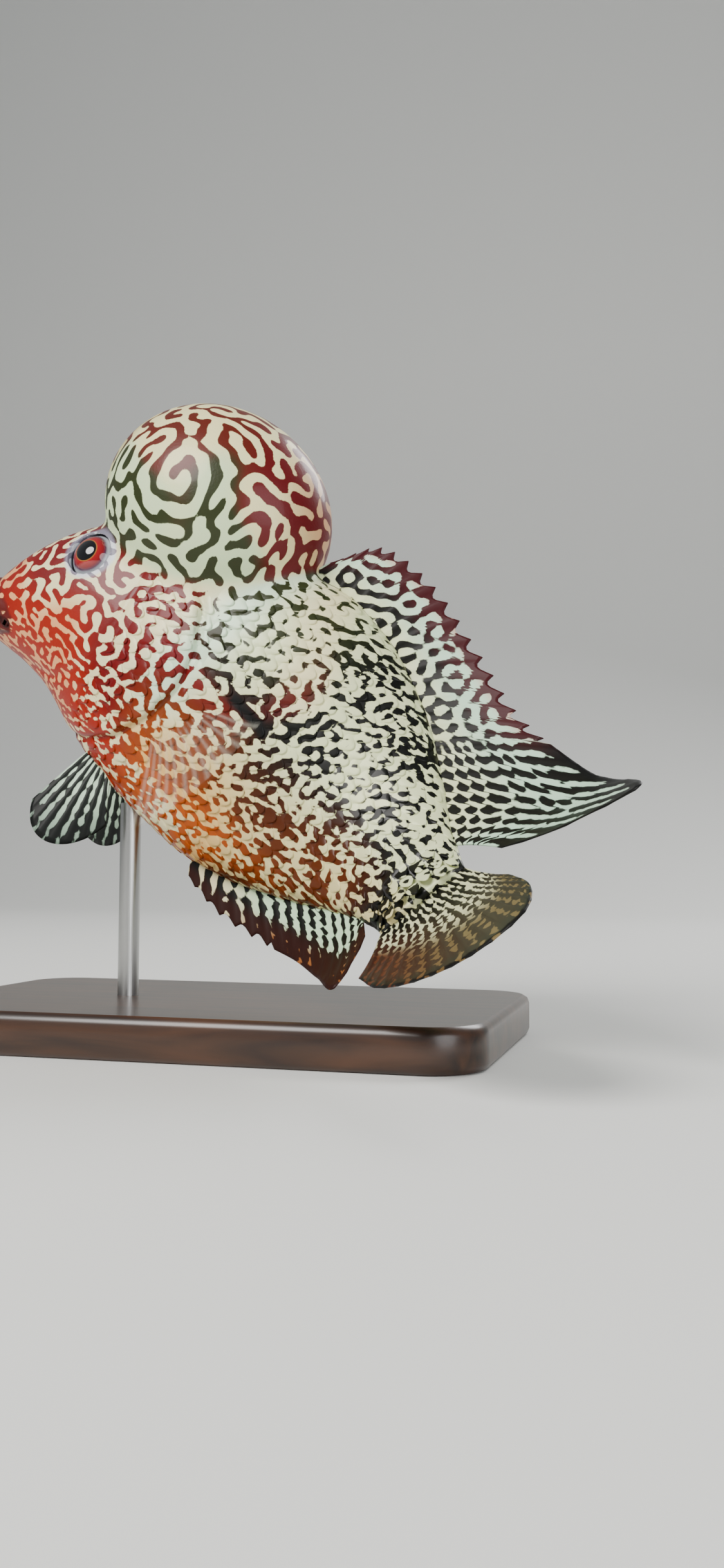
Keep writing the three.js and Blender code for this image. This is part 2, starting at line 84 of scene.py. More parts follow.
FAR = 1e3  # farther away than any point of the fish


def smooth_curve(at, values, x):
    """Cubic Hermite curve through a table, each slope that of the line between the two neighbours."""
    slope = np.gradient(values) / np.gradient(at)
    i = np.clip(np.searchsorted(at, x) - 1, 0, len(at) - 2)
    step = at[i + 1] - at[i]
    t = np.clip((x - at[i]) / step, 0, 1)
    near = values[i] * (1 + 2 * t) * (1 - t) ** 2 + slope[i] * step * t * (1 - t) ** 2
    far = values[i + 1] * t * t * (3 - 2 * t) - slope[i + 1] * step * t * t * (1 - t)
    return near + far


def ramp(x, start, end):
    """Smooth step: 0 before start, 1 past end, cubic between."""
    t = np.clip((x - start) / (end - start), 0, 1)
    return t * t * (3 - 2 * t)


def folded(p):
    """Points brought to the right half of the fish, since its two halves are shaped alike."""
    return np.stack([p[..., 0], np.abs(p[..., 1]), p[..., 2]], -1)


def off_link(p, a, b):
    """Way to each point from the nearest point of the straight link between a and b."""
    run = b - a
    t = np.clip((p - a) @ run / (run @ run), 0, 1)
    return p - a - t[..., None] * run


def egg(p, centre, radii):
    """Signed distance to an ellipsoid, good near its surface."""
    q = (p - centre) / radii
    reach = np.linalg.norm(q, axis=-1)
    slope = np.linalg.norm(q / radii, axis=-1)
    return reach * (reach - 1) / np.maximum(slope, 1e-6)


def soft_union(a, b, width):
    """The lesser of two distances, rounded over the given width."""
    share = np.maximum(width - np.abs(a - b), 0) / width
    return np.minimum(a, b) - share * share * width / 4


def tube(p, path, radii):
    """Signed distance to a chain of round links whose radius changes along it."""
    best = np.full(p.shape[:-1], FAR)
    for a, b, ra, rb in zip(path[:-1], path[1:], radii[:-1], radii[1:]):
        t = np.clip((p - a) @ (b - a) / ((b - a) @ (b - a)), 0, 1)
        near = np.linalg.norm(p - a - t[..., None] * (b - a), axis=-1)
        best = np.minimum(best, near - ra - t * (rb - ra))
    return best


def trunk(p):
    """Signed distance to a loft of ellipses between the back and belly lines."""
    share = np.clip(p[..., 0] / LENGTH, 0, 1.03)
    at = np.sqrt(share)
    table = np.sqrt(STATION)
    back = smooth_curve(table, BACK, at) * LENGTH
    belly = smooth_curve(table, BELLY, at) * LENGTH
    wide = np.maximum(smooth_curve(table, HALF, at) * LENGTH, 0.05)
    high = np.maximum((back - belly) / 2, 0.05)
    b = p[..., 1] / wide
    c = (p[..., 2] - (back + belly) / 2) / high
    reach = np.hypot(b, c)
    slope = np.hypot(b / wide, c / high)
    side = reach * (reach - 1) / np.maximum(slope, 1e-6)
    return np.where(p[..., 0] <= 0, 1 - p[..., 0], side)


def lip(front, run, half, height, fall):
    """Points along a lip from its middle to the corner of the mouth, in one half of the face."""
    way = np.linspace(0, 1, LIP_POINTS)
    back = way**2.4
    line = np.stack([front + run * back, half * way, height - fall * back], 1)
    return line * LENGTH


UPPER_LIP = lip(0.0, 0.078, 0.056, -0.02, 0.026)
LOWER_LIP = lip(0.006, 0.072, 0.053, -0.068, -0.006)
LIP_RADII = 1.95 * np.sqrt(np.maximum(1 - np.linspace(0, 1, LIP_POINTS) ** 6, 0.08))
MOUTH_LINE = (UPPER_LIP + LOWER_LIP) / 2 + np.array((-0.3, 0, 0))
MOUTH_RADII = np.full(LIP_POINTS, 0.5)
NOSTRIL = np.array((0.088, 0.036, 0.085)) * LENGTH
GILL_EDGE = np.array(
    [
        (0.3, 0.2),
        (0.37, 0.15),
        (0.405, 0.09),
        (0.412, 0.03),
        (0.395, -0.03),
        (0.355, -0.09),
        (0.3, -0.125),
        (0.2, -0.15),
    ]
) * LENGTH
CHEEK_EDGE = np.array(
    [(0.262, 0.12), (0.268, 0.06), (0.262, 0.0), (0.24, -0.05), (0.2, -0.08), (0.14, -0.088)]
) * LENGTH


def side_of(p, line):
    """Distance in the side view to a line from the back to the belly, positive tailward of it."""
    xz = p[..., [0, 2]]
    best = np.full(xz.shape[:-1], FAR)
    sign = np.ones(xz.shape[:-1])
    for a, b in zip(line[:-1], line[1:]):
        gap = off_link(xz, a, b)
        near = np.linalg.norm(gap, axis=-1)
        turn = gap[..., 1] * (b - a)[0] - gap[..., 0] * (b - a)[1]
        closer = near < best
        best = np.where(closer, near, best)
        sign = np.where(closer, np.sign(turn), sign)
    return best * sign


def flesh(p):
    """Signed distance to the whole fish without fins or scales: trunk, hump, lips and eye rims joined
    softly, with the mouth, nostrils, eye sockets and gill slits cut in."""
    half = folded(p)
    past_gill = side_of(p, GILL_EDGE)
    past_cheek = side_of(p, CHEEK_EDGE)
    cover = COVER_LIFT * ramp(p[..., 0], 0.2 * LENGTH, 0.37 * LENGTH) * (1 - ramp(past_gill, -0.25, 0.35))
    slit = GILL_GROOVE * np.exp(-(((past_gill - 0.5) / 0.5) ** 2)) * (p[..., 0] > 0.25 * LENGTH)
    crease = CHEEK_GROOVE * np.exp(-((past_cheek / 0.55) ** 2)) * (p[..., 2] < 0.13 * LENGTH)
    body = trunk(p) - cover + slit + crease
    body = soft_union(body, egg(p, HUMP_CENTRE, HUMP_RADII), 2.4)
    body = soft_union(body, tube(half, UPPER_LIP, LIP_RADII), 0.7)
    body = soft_union(body, tube(half, LOWER_LIP, LIP_RADII), 0.7)
    body = np.maximum(body, -tube(half, MOUTH_LINE, MOUTH_RADII))
    rim = np.linalg.norm(half - EYE_CENTRE, axis=-1)
    body = soft_union(body, rim - EYE_RADIUS - 0.35, 1.2)
    facing = (half - EYE_CENTRE) @ SOCKET_WAY
    socket = np.maximum(rim - EYE_RADIUS - 0.05, -facing - EYE_RADIUS)
    opening = np.linalg.norm(half - EYE_CENTRE - facing[..., None] * SOCKET_WAY, axis=-1)
    window = np.maximum(opening - EYE_RADIUS * 0.86, EYE_RADIUS * 0.2 - facing)
    body = np.maximum(body, -np.minimum(socket, window))
    return np.maximum(body, NOSTRIL_RADIUS - np.linalg.norm(half - NOSTRIL, axis=-1))


def slope_of(p, shape, step=0.05):
    """Gradient of a distance by central differences."""
    made = np.empty_like(p)
    for k in range(3):
        d = np.zeros(3)
        d[k] = step
        made[..., k] = (shape(p + d) - shape(p - d)) / (2 * step)
    return made


def surface_net(shape, low, high, step):
    """Closed quad mesh of the points where a distance is zero: one point in each crossed cell of a grid."""
    axes = [np.arange(a, b, step) for a, b in zip(low, high)]
    field = shape(np.stack(np.meshgrid(*axes, indexing="ij"), -1))
    inside = field < 0
    cells = tuple(n - 1 for n in field.shape)
    total, count = np.zeros(cells + (3,)), np.zeros(cells)
    corner = np.stack(np.meshgrid(*[np.arange(n) for n in cells], indexing="ij"), -1)
    for axis in range(3):
        others = [k for k in range(3) if k != axis]
        for u in (0, 1):
            for v in (0, 1):
                start = np.zeros(3, int)
                start[others[0]], start[others[1]] = u, v
                end = start + np.eye(3, dtype=int)[axis]
                a = field[tuple(slice(s, s + n) for s, n in zip(start, cells))]
                b = field[tuple(slice(s, s + n) for s, n in zip(end, cells))]
                crossed = (a < 0) != (b < 0)
                t = np.where(crossed, a / np.where(crossed, a - b, 1), 0)
                place = start + t[..., None] * np.eye(3)[axis]
                total += np.where(crossed[..., None], place, 0)
                count += crossed
    active = count > 0
    index = np.full(cells, -1)
    index[active] = np.arange(active.sum())
    points = (corner[active] + total[active] / count[active][:, None]) * step + [a[0] for a in axes]
    faces = []
    for axis in range(3):
        u, v = (axis + 1) % 3, (axis + 2) % 3
        ahead = np.eye(3, dtype=int)[axis]
        near = inside[tuple(slice(0, n - d) for n, d in zip(inside.shape, ahead))]
        far = inside[tuple(slice(d, n) for n, d in zip(inside.shape, ahead))]
        at = np.argwhere(near != far)
        at = at[(at[:, u] > 0) & (at[:, v] > 0)]
        leaving = near[tuple(at.T)]
        ring = []
        for du, dv in ((1, 1), (0, 1), (0, 0), (1, 0)):
            cell = at.copy()
            cell[:, u] -= du
            cell[:, v] -= dv
            ring.append(index[tuple(np.minimum(cell, np.array(cells) - 1).T)])
        ring = np.stack(ring, 1)
        faces.append(np.where(leaving[:, None], ring, ring[:, ::-1]))
    return points, np.vstack(faces)


# Swimming pose
# The straight fish is bent along its spine, the tail swept to the left flank and turned a little, then
# tipped nose up and lifted onto its stand. The eyes of the solids give the place.

NOSE_UP = np.radians(35)
BEND_START = 0.47
SPINE_STEPS = 240


def spine():
    """Stations past the bend's start with their places, right-hand directions and back directions."""
    share = np.arange(BEND_START, 1.5, 1 / SPINE_STEPS)
    late = np.maximum(share - 0.55, 0) / 0.45
    sweep = np.radians(-60) * np.minimum(((share - BEND_START) / (1 - BEND_START)) ** 1.5, 1.25)
    droop = np.radians(3) * late**1.5
    twist = np.radians(18) * np.minimum(late, 1) ** 1.5
    along = np.stack([np.cos(droop) * np.cos(sweep), np.cos(droop) * np.sin(sweep), -np.sin(droop)], 1)
    up = np.stack([np.sin(droop) * np.cos(sweep), np.sin(droop) * np.sin(sweep), np.cos(droop)], 1)
    back = up * np.cos(twist)[:, None] + np.cross(up, along) * np.sin(twist)[:, None]
    place = np.cumsum(np.vstack([[BEND_START * LENGTH, 0, 0], along[:-1] * LENGTH / SPINE_STEPS]), 0)
    return share, place, np.cross(back, along), back


SPINE = spine()


def tip_up(p):
    """Turns points about the y axis so that the nose rises."""
    c, s = np.cos(NOSE_UP), np.sin(NOSE_UP)
    return np.stack([p[..., 0] * c + p[..., 2] * s, p[..., 1], p[..., 2] * c - p[..., 0] * s], -1)


low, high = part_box("eye_left")
PLACE = np.array((low + high) / 2) * 1000 - tip_up(EYE_CENTRE * (1, -1, 1))


def posed(p):
    """Points of the straight fish in the row frame, in metres."""
    share, places, sides, backs = SPINE
    s = p[..., 0] / LENGTH
    place, side, back = (
        np.stack([np.interp(s, share, column) for column in table.T], -1)
        for table in (places, sides, backs)
    )
    side /= np.linalg.norm(side, axis=-1, keepdims=True)
    back /= np.linalg.norm(back, axis=-1, keepdims=True)
    bent = place + side * p[..., 1:2] + back * p[..., 2:3]
    return (tip_up(np.where(s[..., None] <= BEND_START, p, bent)) + PLACE) / 1000


def add_piece(name, points, faces, material, nodes, attributes=(), uv=None):
    """A smooth mesh from arrays that rides on the fish, with colours or values stored on its points."""
    mesh = bpy.data.meshes.new(name)
    faces = np.asarray(faces)
    mesh.vertices.add(len(points))
    mesh.vertices.foreach_set("co", np.asarray(points, np.float32).ravel())
    mesh.loops.add(faces.size)
    mesh.loops.foreach_set("vertex_index", faces.ravel().astype(np.int32))
    mesh.polygons.add(len(faces))
    starts = np.arange(0, faces.size, faces.shape[1], dtype=np.int32)
    mesh.polygons.foreach_set("loop_start", starts)
    mesh.update(calc_edges=True)
    mesh.validate()
    mesh.polygons.foreach_set("use_smooth", np.ones(len(mesh.polygons), bool))
    for key, values in attributes:
        kind = "FLOAT" if values.ndim == 1 else "FLOAT_VECTOR"
        layer = mesh.attributes.new(key, kind, "POINT")
        layer.data.foreach_set("value" if kind == "FLOAT" else "vector", values.astype(np.float32).ravel())
    if uv is not None:
        layer = mesh.uv_layers.new(name="OFBake")
        layer.data.foreach_set("uv", uv[faces.ravel()].astype(np.float32).ravel())
    made = bpy.data.objects.new(name, mesh)
    bpy.context.collection.objects.link(made)
    mesh.materials.append(material)
    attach(made, "root")
    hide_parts(*nodes)
    return made


# Skin
# One wet skin from the lips to the root of the tail fin, grown fast to the flesh under it. It is a net of
# small quads laid where the flesh's distance is zero and pulled onto it.

NET_STEP = 0.385


def pulled(p, depth, rounds=3):
    """Points moved along the slope until they lie at the given depth under the flesh's surface."""
    for _ in range(rounds):
        slope = slope_of(p, flesh)
        slope /= np.maximum(np.linalg.norm(slope, axis=-1, keepdims=True), 0.3)
        p = p - slope * np.clip(flesh(p) + depth, -0.4, 0.4)[..., None]
    return p


def cut_flesh(p):
    """The flesh ended square at the tail fin's root, worked out in full only near its surface."""
    narrowed = 1 + 1.1 * ramp(p[..., 0], 0.92 * LENGTH, 0.985 * LENGTH)
    p = np.stack([p[..., 0], p[..., 1] * narrowed, p[..., 2]], -1)
    rough = np.minimum(trunk(p), egg(p, HUMP_CENTRE, HUMP_RADII))
    near = np.abs(rough) < 3.2
    rough[near] = flesh(p[near])
    return np.maximum(rough, p[..., 0] - 0.985 * LENGTH)


low = np.array((-2.6, -15.2, -20.2))
high = np.array((96.0, 15.2, 45.6))
skin_points, skin_faces = surface_net(cut_flesh, low, high, NET_STEP)
links = np.vstack([skin_faces[:, [k, (k + 1) % 4]] for k in range(4)])
links = np.unique(np.sort(links, 1), axis=0)


def neighbour_mean(values, weight=1.0):
    """Mean of each point's linked neighbours, each link with its weight."""
    size = len(skin_points)
    weight = np.broadcast_to(weight, len(links))
    total = np.bincount(links[:, 0], values[links[:, 1]] * weight, size)
    total += np.bincount(links[:, 1], values[links[:, 0]] * weight, size)
    return total / (np.bincount(links[:, 0], weight, size) + np.bincount(links[:, 1], weight, size))


for _ in range(2):
    relaxed = np.stack([neighbour_mean(skin_points[:, k]) for k in range(3)], 1)
    tail_end = skin_points[:, 0] > 0.92 * LENGTH
    skin_points = np.where(tail_end[:, None], skin_points, pulled(relaxed, SKIN_DEPTH, 1))

# Markings
# Pale lines and spots on a red, orange, olive or black ground. On a live fish such lines grow where pigment
# cells crowd their near neighbours and push off the far ones, and the skin's net does the same here.

SWIRL = np.array((0.235, -0.13, 0.3)) * LENGTH
EAR_MARK = np.array([(0.505, 0.068), (0.53, 0.062), (0.56, 0.058), (0.578, 0.05)]) * LENGTH


def regions(p):
    """Shares of each point that belong to the hump, face, belly and rear, with how high it lies between
    belly and back and how far along the fish."""
    s = p[..., 0] / LENGTH
    at = np.sqrt(np.clip(s, 0, 1.03))
    back = smooth_curve(np.sqrt(STATION), BACK, at) * LENGTH
    belly = smooth_curve(np.sqrt(STATION), BELLY, at) * LENGTH
    height = (p[..., 2] - (back + belly) / 2) / np.maximum((back - belly) / 2, 1)
    on_hump = ramp(trunk(p) - egg(p, HUMP_CENTRE, HUMP_RADII), -0.6, 1.6)
    face = (1 - ramp(s + 0.05 * height, 0.3, 0.42)) * (1 - on_hump)
    low_side = (1 - ramp(height, -0.7, 0.1)) * (1 - on_hump)
    rear = ramp(s, 0.5, 0.8) * (1 - on_hump)
    return on_hump, face, low_side, rear, height, s


def mixed(a, b, share):
    """Blend of two colours or arrays of colours by a share for each point."""
    return np.asarray(a) + (np.asarray(b) - np.asarray(a)) * np.asarray(share)[..., None]


def linear(code):
    """Linear RGB of an sRGB hex colour."""
    parts = [int(code[k : k + 2], 16) / 255 for k in (1, 3, 5)]
    return np.array([c / 12.92 if c < 0.04045 else ((c + 0.055) / 1.055) ** 2.4 for c in parts])


def waves(p, length, along=(1.0, 0, 0), stretch=1.0, count=48, seed=1, flat=False):
    """Random field of unit spread: a sum of plane waves of one length, drawn out along a direction. Flat
    waves run in the fish's middle plane only."""
    pick = np.random.default_rng(seed)
    way = pick.normal(size=(count, 3)) * (1, 1 - flat, 1)
    way /= np.linalg.norm(way, axis=1, keepdims=True)
    along = np.array(along) / np.linalg.norm(along)
    way -= np.outer(way @ along, along) * (1 - 1 / stretch)
    phase = pick.uniform(0, 2 * np.pi, count)
    return np.sqrt(2 / count) * np.cos(p @ way.T * 2 * np.pi / length + phase).sum(-1)


def bare_shares(p):
    """Shares of each point on the plain lips, and on the mouth slit and nostrils painted dark as shade."""
    half = folded(p)
    lips = np.minimum(tube(half, UPPER_LIP, LIP_RADII), tube(half, LOWER_LIP, LIP_RADII))
    nostril = np.linalg.norm(half - NOSTRIL, axis=-1) - NOSTRIL_RADIUS
    opening = np.minimum(tube(half, MOUTH_LINE, MOUTH_RADII), nostril)
    return 1 - ramp(lips, 0.05, 0.6), 1 - ramp(opening, 0.1, 0.5)


def nape_share(height, s):
    """Share of each point that belongs to the pale upper flank behind the hump."""
    return ramp(height, 0.1, 0.5) * ramp(s, 0.34, 0.4) * (1 - ramp(s, 0.52, 0.68))


def skin_colours(p):
    """Ground colour and pale colour of each point, from its place on the fish."""
    on_hump, face, low_side, rear, height, s = regions(p)
    drift = waves(p, 17, seed=5) * 0.12
    ground = mixed(linear("#3a1a0c"), linear("#0a0b07"), ramp(s + drift * 0.4, 0.42, 0.6))
    crimson = (
        (1 - ramp(s + drift, 0.4, 0.54)) * ramp(height, -0.3, 0.1) * (1 - 0.7 * ramp(height, 0.3, 0.8))
    )
    ground = mixed(ground, linear("#700a10"), crimson * 0.9)
    golden = mixed(linear("#b04e05"), linear("#5e2806"), ramp(s + drift, 0.46, 0.78))
    ground = mixed(ground, linear("#2b3016"), nape_share(height, s) * (1 - on_hump))
    ground = mixed(ground, golden, low_side * (1 - ramp(s, 0.82, 0.95)) * 0.95)
    red = mixed(linear("#961d08"), linear("#6a0a0c"), ramp(s + 0.3 * height + drift, 0.0, 0.3))
    ground = mixed(ground, red, face)
    ground = mixed(ground, linear("#7d0d0a"), (1 - ramp(s, 0.0, 0.1)))
    far_back = ramp(p[..., 0] * 0.8 + p[..., 2] * 0.6 + drift * 20, 0.44 * LENGTH, 0.52 * LENGTH)
    nape_side = ramp(p[..., 0] * 0.8 + p[..., 2] * 0.6, 0.5 * LENGTH, 0.58 * LENGTH)
    hump_ground = mixed(linear("#2a3012"), linear("#5c1a0b"), ramp(p[..., 2] / LENGTH + drift, 0.22, 0.31))
    hump_ground = mixed(hump_ground, linear("#5f070c"), far_back)
    ground = mixed(ground, hump_ground, on_hump)
    lips, opening_shade = bare_shares(p)
    ground = mixed(ground, linear("#591410"), lips)
    # Painted shade: the mouth slit and nostril pits coloured near black, as the shade in these recesses
    ground = mixed(ground, linear("#140303"), opening_shade)
    from_eye = folded(p) - EYE_CENTRE
    orbit = 1 - ramp(np.linalg.norm(from_eye, axis=-1) - EYE_RADIUS, 0.9, 1.5)
    ground = mixed(ground, linear("#7d7888"), orbit)
    pale = mixed(linear("#e9deac"), linear("#dde3b2"), ramp(s + drift, 0.36, 0.7))
    pale = mixed(pale, linear("#e6a648"), low_side * ramp(s + drift, 0.36, 0.5) * (1 - rear) * 0.85)
    pale = mixed(pale, linear("#dcc486"), low_side * rear * 0.7)
    pale = mixed(pale, linear("#dd8e58"), face * (1 - ramp(s + 0.1 * height + drift, 0.05, 0.2)) * 0.85)
    mint = np.exp(-(((s - 0.4 - 0.04 * height) / 0.045) ** 2)) * ramp(height, -0.6, 0.0)
    pale = mixed(pale, linear("#cfe6c8"), mint * (1 - on_hump))
    hump_pale = mixed(linear("#cfe2b2"), linear("#ece3a8"), ramp(p[..., 2] / LENGTH + drift, 0.2, 0.32))
    hump_pale = mixed(hump_pale, linear("#c97048"), nape_side * 0.75)
    hump_pale = mixed(hump_pale, linear("#b39a58"), 1 - ramp(s, 0.06, 0.12))
    pale = mixed(pale, hump_pale, on_hump)
    pale = mixed(pale, linear("#d6d8e0"), orbit)
    return ground, pale


def line_layout(p):
    """Line spacing in mm, direction the lines run in, how strongly, and how much of the skin is pale."""
    on_hump, face, low_side, rear, height, s = regions(p)
    spacing = 2.7 - 0.45 * rear - 0.45 * low_side + 0.95 * on_hump
    flow = mixed(np.array((0.93, 0, 0.37)), np.array((0.8, 0, 0.6)), rear * ramp(height, 0, 0.5))
    flow = mixed(flow, np.array((0.95, 0, 0.3)), low_side)
    from_swirl = p - SWIRL
    around = np.cross(from_swirl, np.array((0, 1.0, 0)))
    around /= np.maximum(np.linalg.norm(around, axis=-1, keepdims=True), 1e-6)
    flow = mixed(flow, around, on_hump)
    hold = 0.35 + 0.3 * rear + 0.2 * low_side + 0.1 * on_hump
    swirl_share = on_hump * (p[..., 1] < 2) * (1 - ramp(np.linalg.norm(from_swirl, axis=-1), 4, 9)) * 0.42
    nape = nape_share(height, s) * (1 - on_hump)
    bias = 0.15 * on_hump + 0.5 * nape - 0.05 * face - 0.27 * low_side + 0.13
    bias += 0.16 * waves(p, 11, seed=3) * (1 - on_hump)
    bias -= 0.62 * on_hump * ramp(p[..., 0] * 0.8 + p[..., 2] * 0.6, 0.43 * LENGTH, 0.55 * LENGTH)
    bias -= 0.22 * face * (1 - ramp(height, -0.3, 0.1)) * ramp(s, 0.12, 0.2)
    bias -= 0.5 * (1 - ramp(s - 0.1 * height, 0.06, 0.15)) * (1 - on_hump)
    return spacing, flow, hold, swirl_share, bias


MAZE_ROUNDS = 9
FAR_ROUNDS, NEAR_ROUNDS = 60, 16  # how far pigment cells push others off, and how near they crowd
RING_STEP = 3.7  # mm between the rings of the swirl
MAZE_LIMIT = 1.5
spacing, flow, hold, swirl_share, bias = line_layout(skin_points)
link_way = skin_points[links[:, 1]] - skin_points[links[:, 0]]
link_way /= np.maximum(np.linalg.norm(link_way, axis=1, keepdims=True), 1e-9)
aligned = (link_way * flow[links[:, 0]]).sum(1) ** 2
pull = 1 + hold[links[:, 0]] * (2 * aligned - 0.7)
spread = np.clip((spacing / (NET_STEP * 4.6)) ** 2 / 16, 0.05, 0.62)


def blurred(values, rounds):
    """Values spread over the net for a number of rounds, as far as the local line spacing asks."""
    for _ in range(rounds):
        values = values + spread * (neighbour_mean(values, pull) - values)
    return values


maze = draws.normal(size=len(skin_points))
wobble = 0.9 * waves(skin_points, 10, seed=8)
from_swirl = (skin_points - SWIRL) * (1, 1, 0.8)
round_swirl = np.arctan2(from_swirl[:, 2], from_swirl[:, 0])
rings = np.cos(2 * np.pi * (np.linalg.norm(from_swirl, axis=1) + wobble) / RING_STEP + round_swirl)
maze = maze * (1 - swirl_share) + 2.2 * rings * swirl_share
for _ in range(MAZE_ROUNDS):
    near = blurred(maze, NEAR_ROUNDS)
    band = near - blurred(near, FAR_ROUNDS - NEAR_ROUNDS)
    band /= np.sqrt(blurred(band * band, FAR_ROUNDS) + 1e-9)
    maze = np.tanh(2.2 * (band + 0.25 * bias))
ear = np.full(len(skin_points), FAR)
for a, b in zip(EAR_MARK[:-1], EAR_MARK[1:]):
    ear = np.minimum(ear, np.linalg.norm(off_link(skin_points[:, [0, 2]], a, b), axis=1))
ear_share = 1 - ramp(ear, 0.75, 1.15)
on_hump, face, low_side, rear, height, s = regions(skin_points)
broken = waves(skin_points, 3.4, seed=9) * (0.5 - 0.22 * on_hump)
skin_fine = np.clip(0.08 + low_side + 0.2 * rear, 0, 1) * (1 - on_hump) * ramp(s, 0.2, 0.45)
skin_maze = np.clip((band + broken) * (1 - 0.72 * skin_fine) + 1.1 * bias, -MAZE_LIMIT, MAZE_LIMIT)
lips, opening_shade = bare_shares(skin_points)
# No pale lines on the black ear mark, nor in the painted shade of the mouth slit and nostrils
plain = np.maximum(ear_share, opening_shade)
skin_maze = (skin_maze - 0.75 * lips) * (1 - plain) - MAZE_LIMIT * plain
skin_ground, skin_pale = skin_colours(skin_points)
skin_ground = mixed(skin_ground, linear("#0b0b0a"), ear_share)


# Materials
# Each starts from the real one. Markings come from values stored on the points, so skin, scales and fins
# agree.

GRAIN_SIZE = 1 / 2.6  # mm across a speck of pigment
DASH_SIZE = 1 / 1.05  # mm across a dash in the fine pattern of the belly
FRAYED = 0.34  # how far the specks move an edge
DASHED = 6.0  # how far the dashes do

def node(tree, kind, settings=()):
    """Adds a node, sets its fields and inputs, and links an input wherever its value is a socket."""
    made = tree.nodes.new(kind)
    for key, value in dict(settings).items():
        if isinstance(key, str) and hasattr(made, key):
            setattr(made, key, value)
        elif isinstance(value, bpy.types.NodeSocket):
            tree.links.new(value, made.inputs[key])
        else:
            made.inputs[key].default_value = value
    return made


def material(name, values):
    """A new material with its tree and its shader, whose inputs are set to the given values."""
    made = bpy.data.materials.new(name)
    made.use_nodes = True
    shader = made.node_tree.nodes["Principled BSDF"]
    for key, value in values.items():
        shader.inputs[key].default_value = value
    return made, made.node_tree, shader


def colour(code):
    """Linear RGBA of an sRGB hex colour, for a shader's input."""
    return (*linear(code), 1)


def marked(tree, shader, softness):
    """Colours a shader from the values on the points: pale where the maze plus noise is above zero, ground
    elsewhere, with an edge between them as soft as skin pigment's."""
    ground, pale, maze, fine = (
        node(tree, "ShaderNodeAttribute", {"attribute_name": key})
        for key in ("ground", "pale", "maze", "fine")
    )
    place = node(tree, "ShaderNodeTexCoord").outputs["Object"]
    specks = {"Vector": place, "Scale": 1000 / GRAIN_SIZE, "Detail": 2.0, "Roughness": 0.6}
    grain = node(tree, "ShaderNodeTexNoise", specks)
    stretch = {"vector_type": "TEXTURE", "Rotation": (0, NOSE_UP, 0), "Scale": (1.7, 1, 1)}
    drawn = node(tree, "ShaderNodeMapping", {**stretch, "Vector": place}).outputs["Vector"]
    dashes = node(tree, "ShaderNodeTexNoise", {"Vector": drawn, "Scale": 1000 / DASH_SIZE, "Detail": 0.0})
    scaled = {"operation": "MULTIPLY_ADD"}
    ragged, spread_out = (
        node(tree, "ShaderNodeMath", {**scaled, 0: tex.outputs["Fac"], 1: reach, 2: -reach / 2}).outputs[0]
        for tex, reach in ((grain, FRAYED), (dashes, DASHED))
    )
    both = node(tree, "ShaderNodeMath", {"operation": "ADD", 0: maze.outputs["Fac"], 1: ragged}).outputs[0]
    total = node(tree, "ShaderNodeMath", {**scaled, 0: fine.outputs["Fac"], 1: spread_out, 2: both})
    step = {"interpolation_type": "SMOOTHSTEP", "From Min": -softness, "From Max": softness}
    edge = node(tree, "ShaderNodeMapRange", {**step, "Value": total.outputs[0]})
    shades = {6: ground.outputs["Color"], 7: pale.outputs["Color"]}
    mix = node(tree, "ShaderNodeMix", {"data_type": "RGBA", "Factor": edge.outputs["Result"], **shades})
    tree.links.new(mix.outputs[2], shader.inputs["Base Color"])
    return edge, grain


def set_stops(made, stops):
    """Sets the marks of a colour ramp, each with its place from 0 to 1 and its sRGB hex colour."""
    marks = made.color_ramp.elements
    for index, (stop, code) in enumerate(stops):
        mark = marks[index] if index < 2 else marks.new(stop)
        mark.position, mark.color = stop, colour(code)


# Live skin under its slime: sharp highlights over soft colour, light bleeding a little below
wet = {"Roughness": 0.42, "IOR": 1.4, "Coat Weight": 0.3, "Coat Roughness": 0.1, "Coat IOR": 1.33}
skin_wet = {"Subsurface Weight": 0.06, "Subsurface Scale": 0.0004, "Specular IOR Level": 0.35}
wet_skin, tree, shader = material("wet fish skin", {**wet, **skin_wet})
_, grain = marked(tree, shader, 0.16)
bump = node(tree, "ShaderNodeBump", {"Height": grain.outputs["Fac"], "Strength": 0.25, "Distance": 0.00012})
tree.links.new(bump.outputs["Normal"], shader.inputs["Normal"])
# Bony scales under thin skin: a little glossier, with a pearly sheen
scale_wet = {"Roughness": 0.4, "Coat Weight": 0.2, "Specular IOR Level": 0.25}
wet_scale, tree, shader = material("wet fish scale", {**wet, **scale_wet})
edge, _ = marked(tree, shader, 0.16)
sheen = node(tree, "ShaderNodeMath", {"operation": "MULTIPLY", 0: edge.outputs["Result"], 1: 0.06})
tree.links.new(sheen.outputs[0], shader.inputs["Metallic"])
# Elastic membrane, thin enough to glow when lit from behind
fin_wet = {"Roughness": 0.5, "Coat Weight": 0.08, "Specular IOR Level": 0.25}
fin_skin, tree, shader = material("wet fin membrane", {**wet, **fin_wet})
marked(tree, shader, 0.2)
clear_values = {"Roughness": 0.2, "IOR": 1.35, "Alpha": 0.2, "Base Color": colour("#e4e2d2")}
clear_skin, tree, shader = material("clear fin membrane", clear_values)
rays_shown = node(tree, "ShaderNodeAttribute", {"attribute_name": "maze"})
solid_rays = node(
    tree, "ShaderNodeMapRange", {"Value": rays_shown.outputs["Fac"], "To Min": 0.015, "To Max": 0.11}
)
tree.links.new(solid_rays.outputs["Result"], shader.inputs["Alpha"])
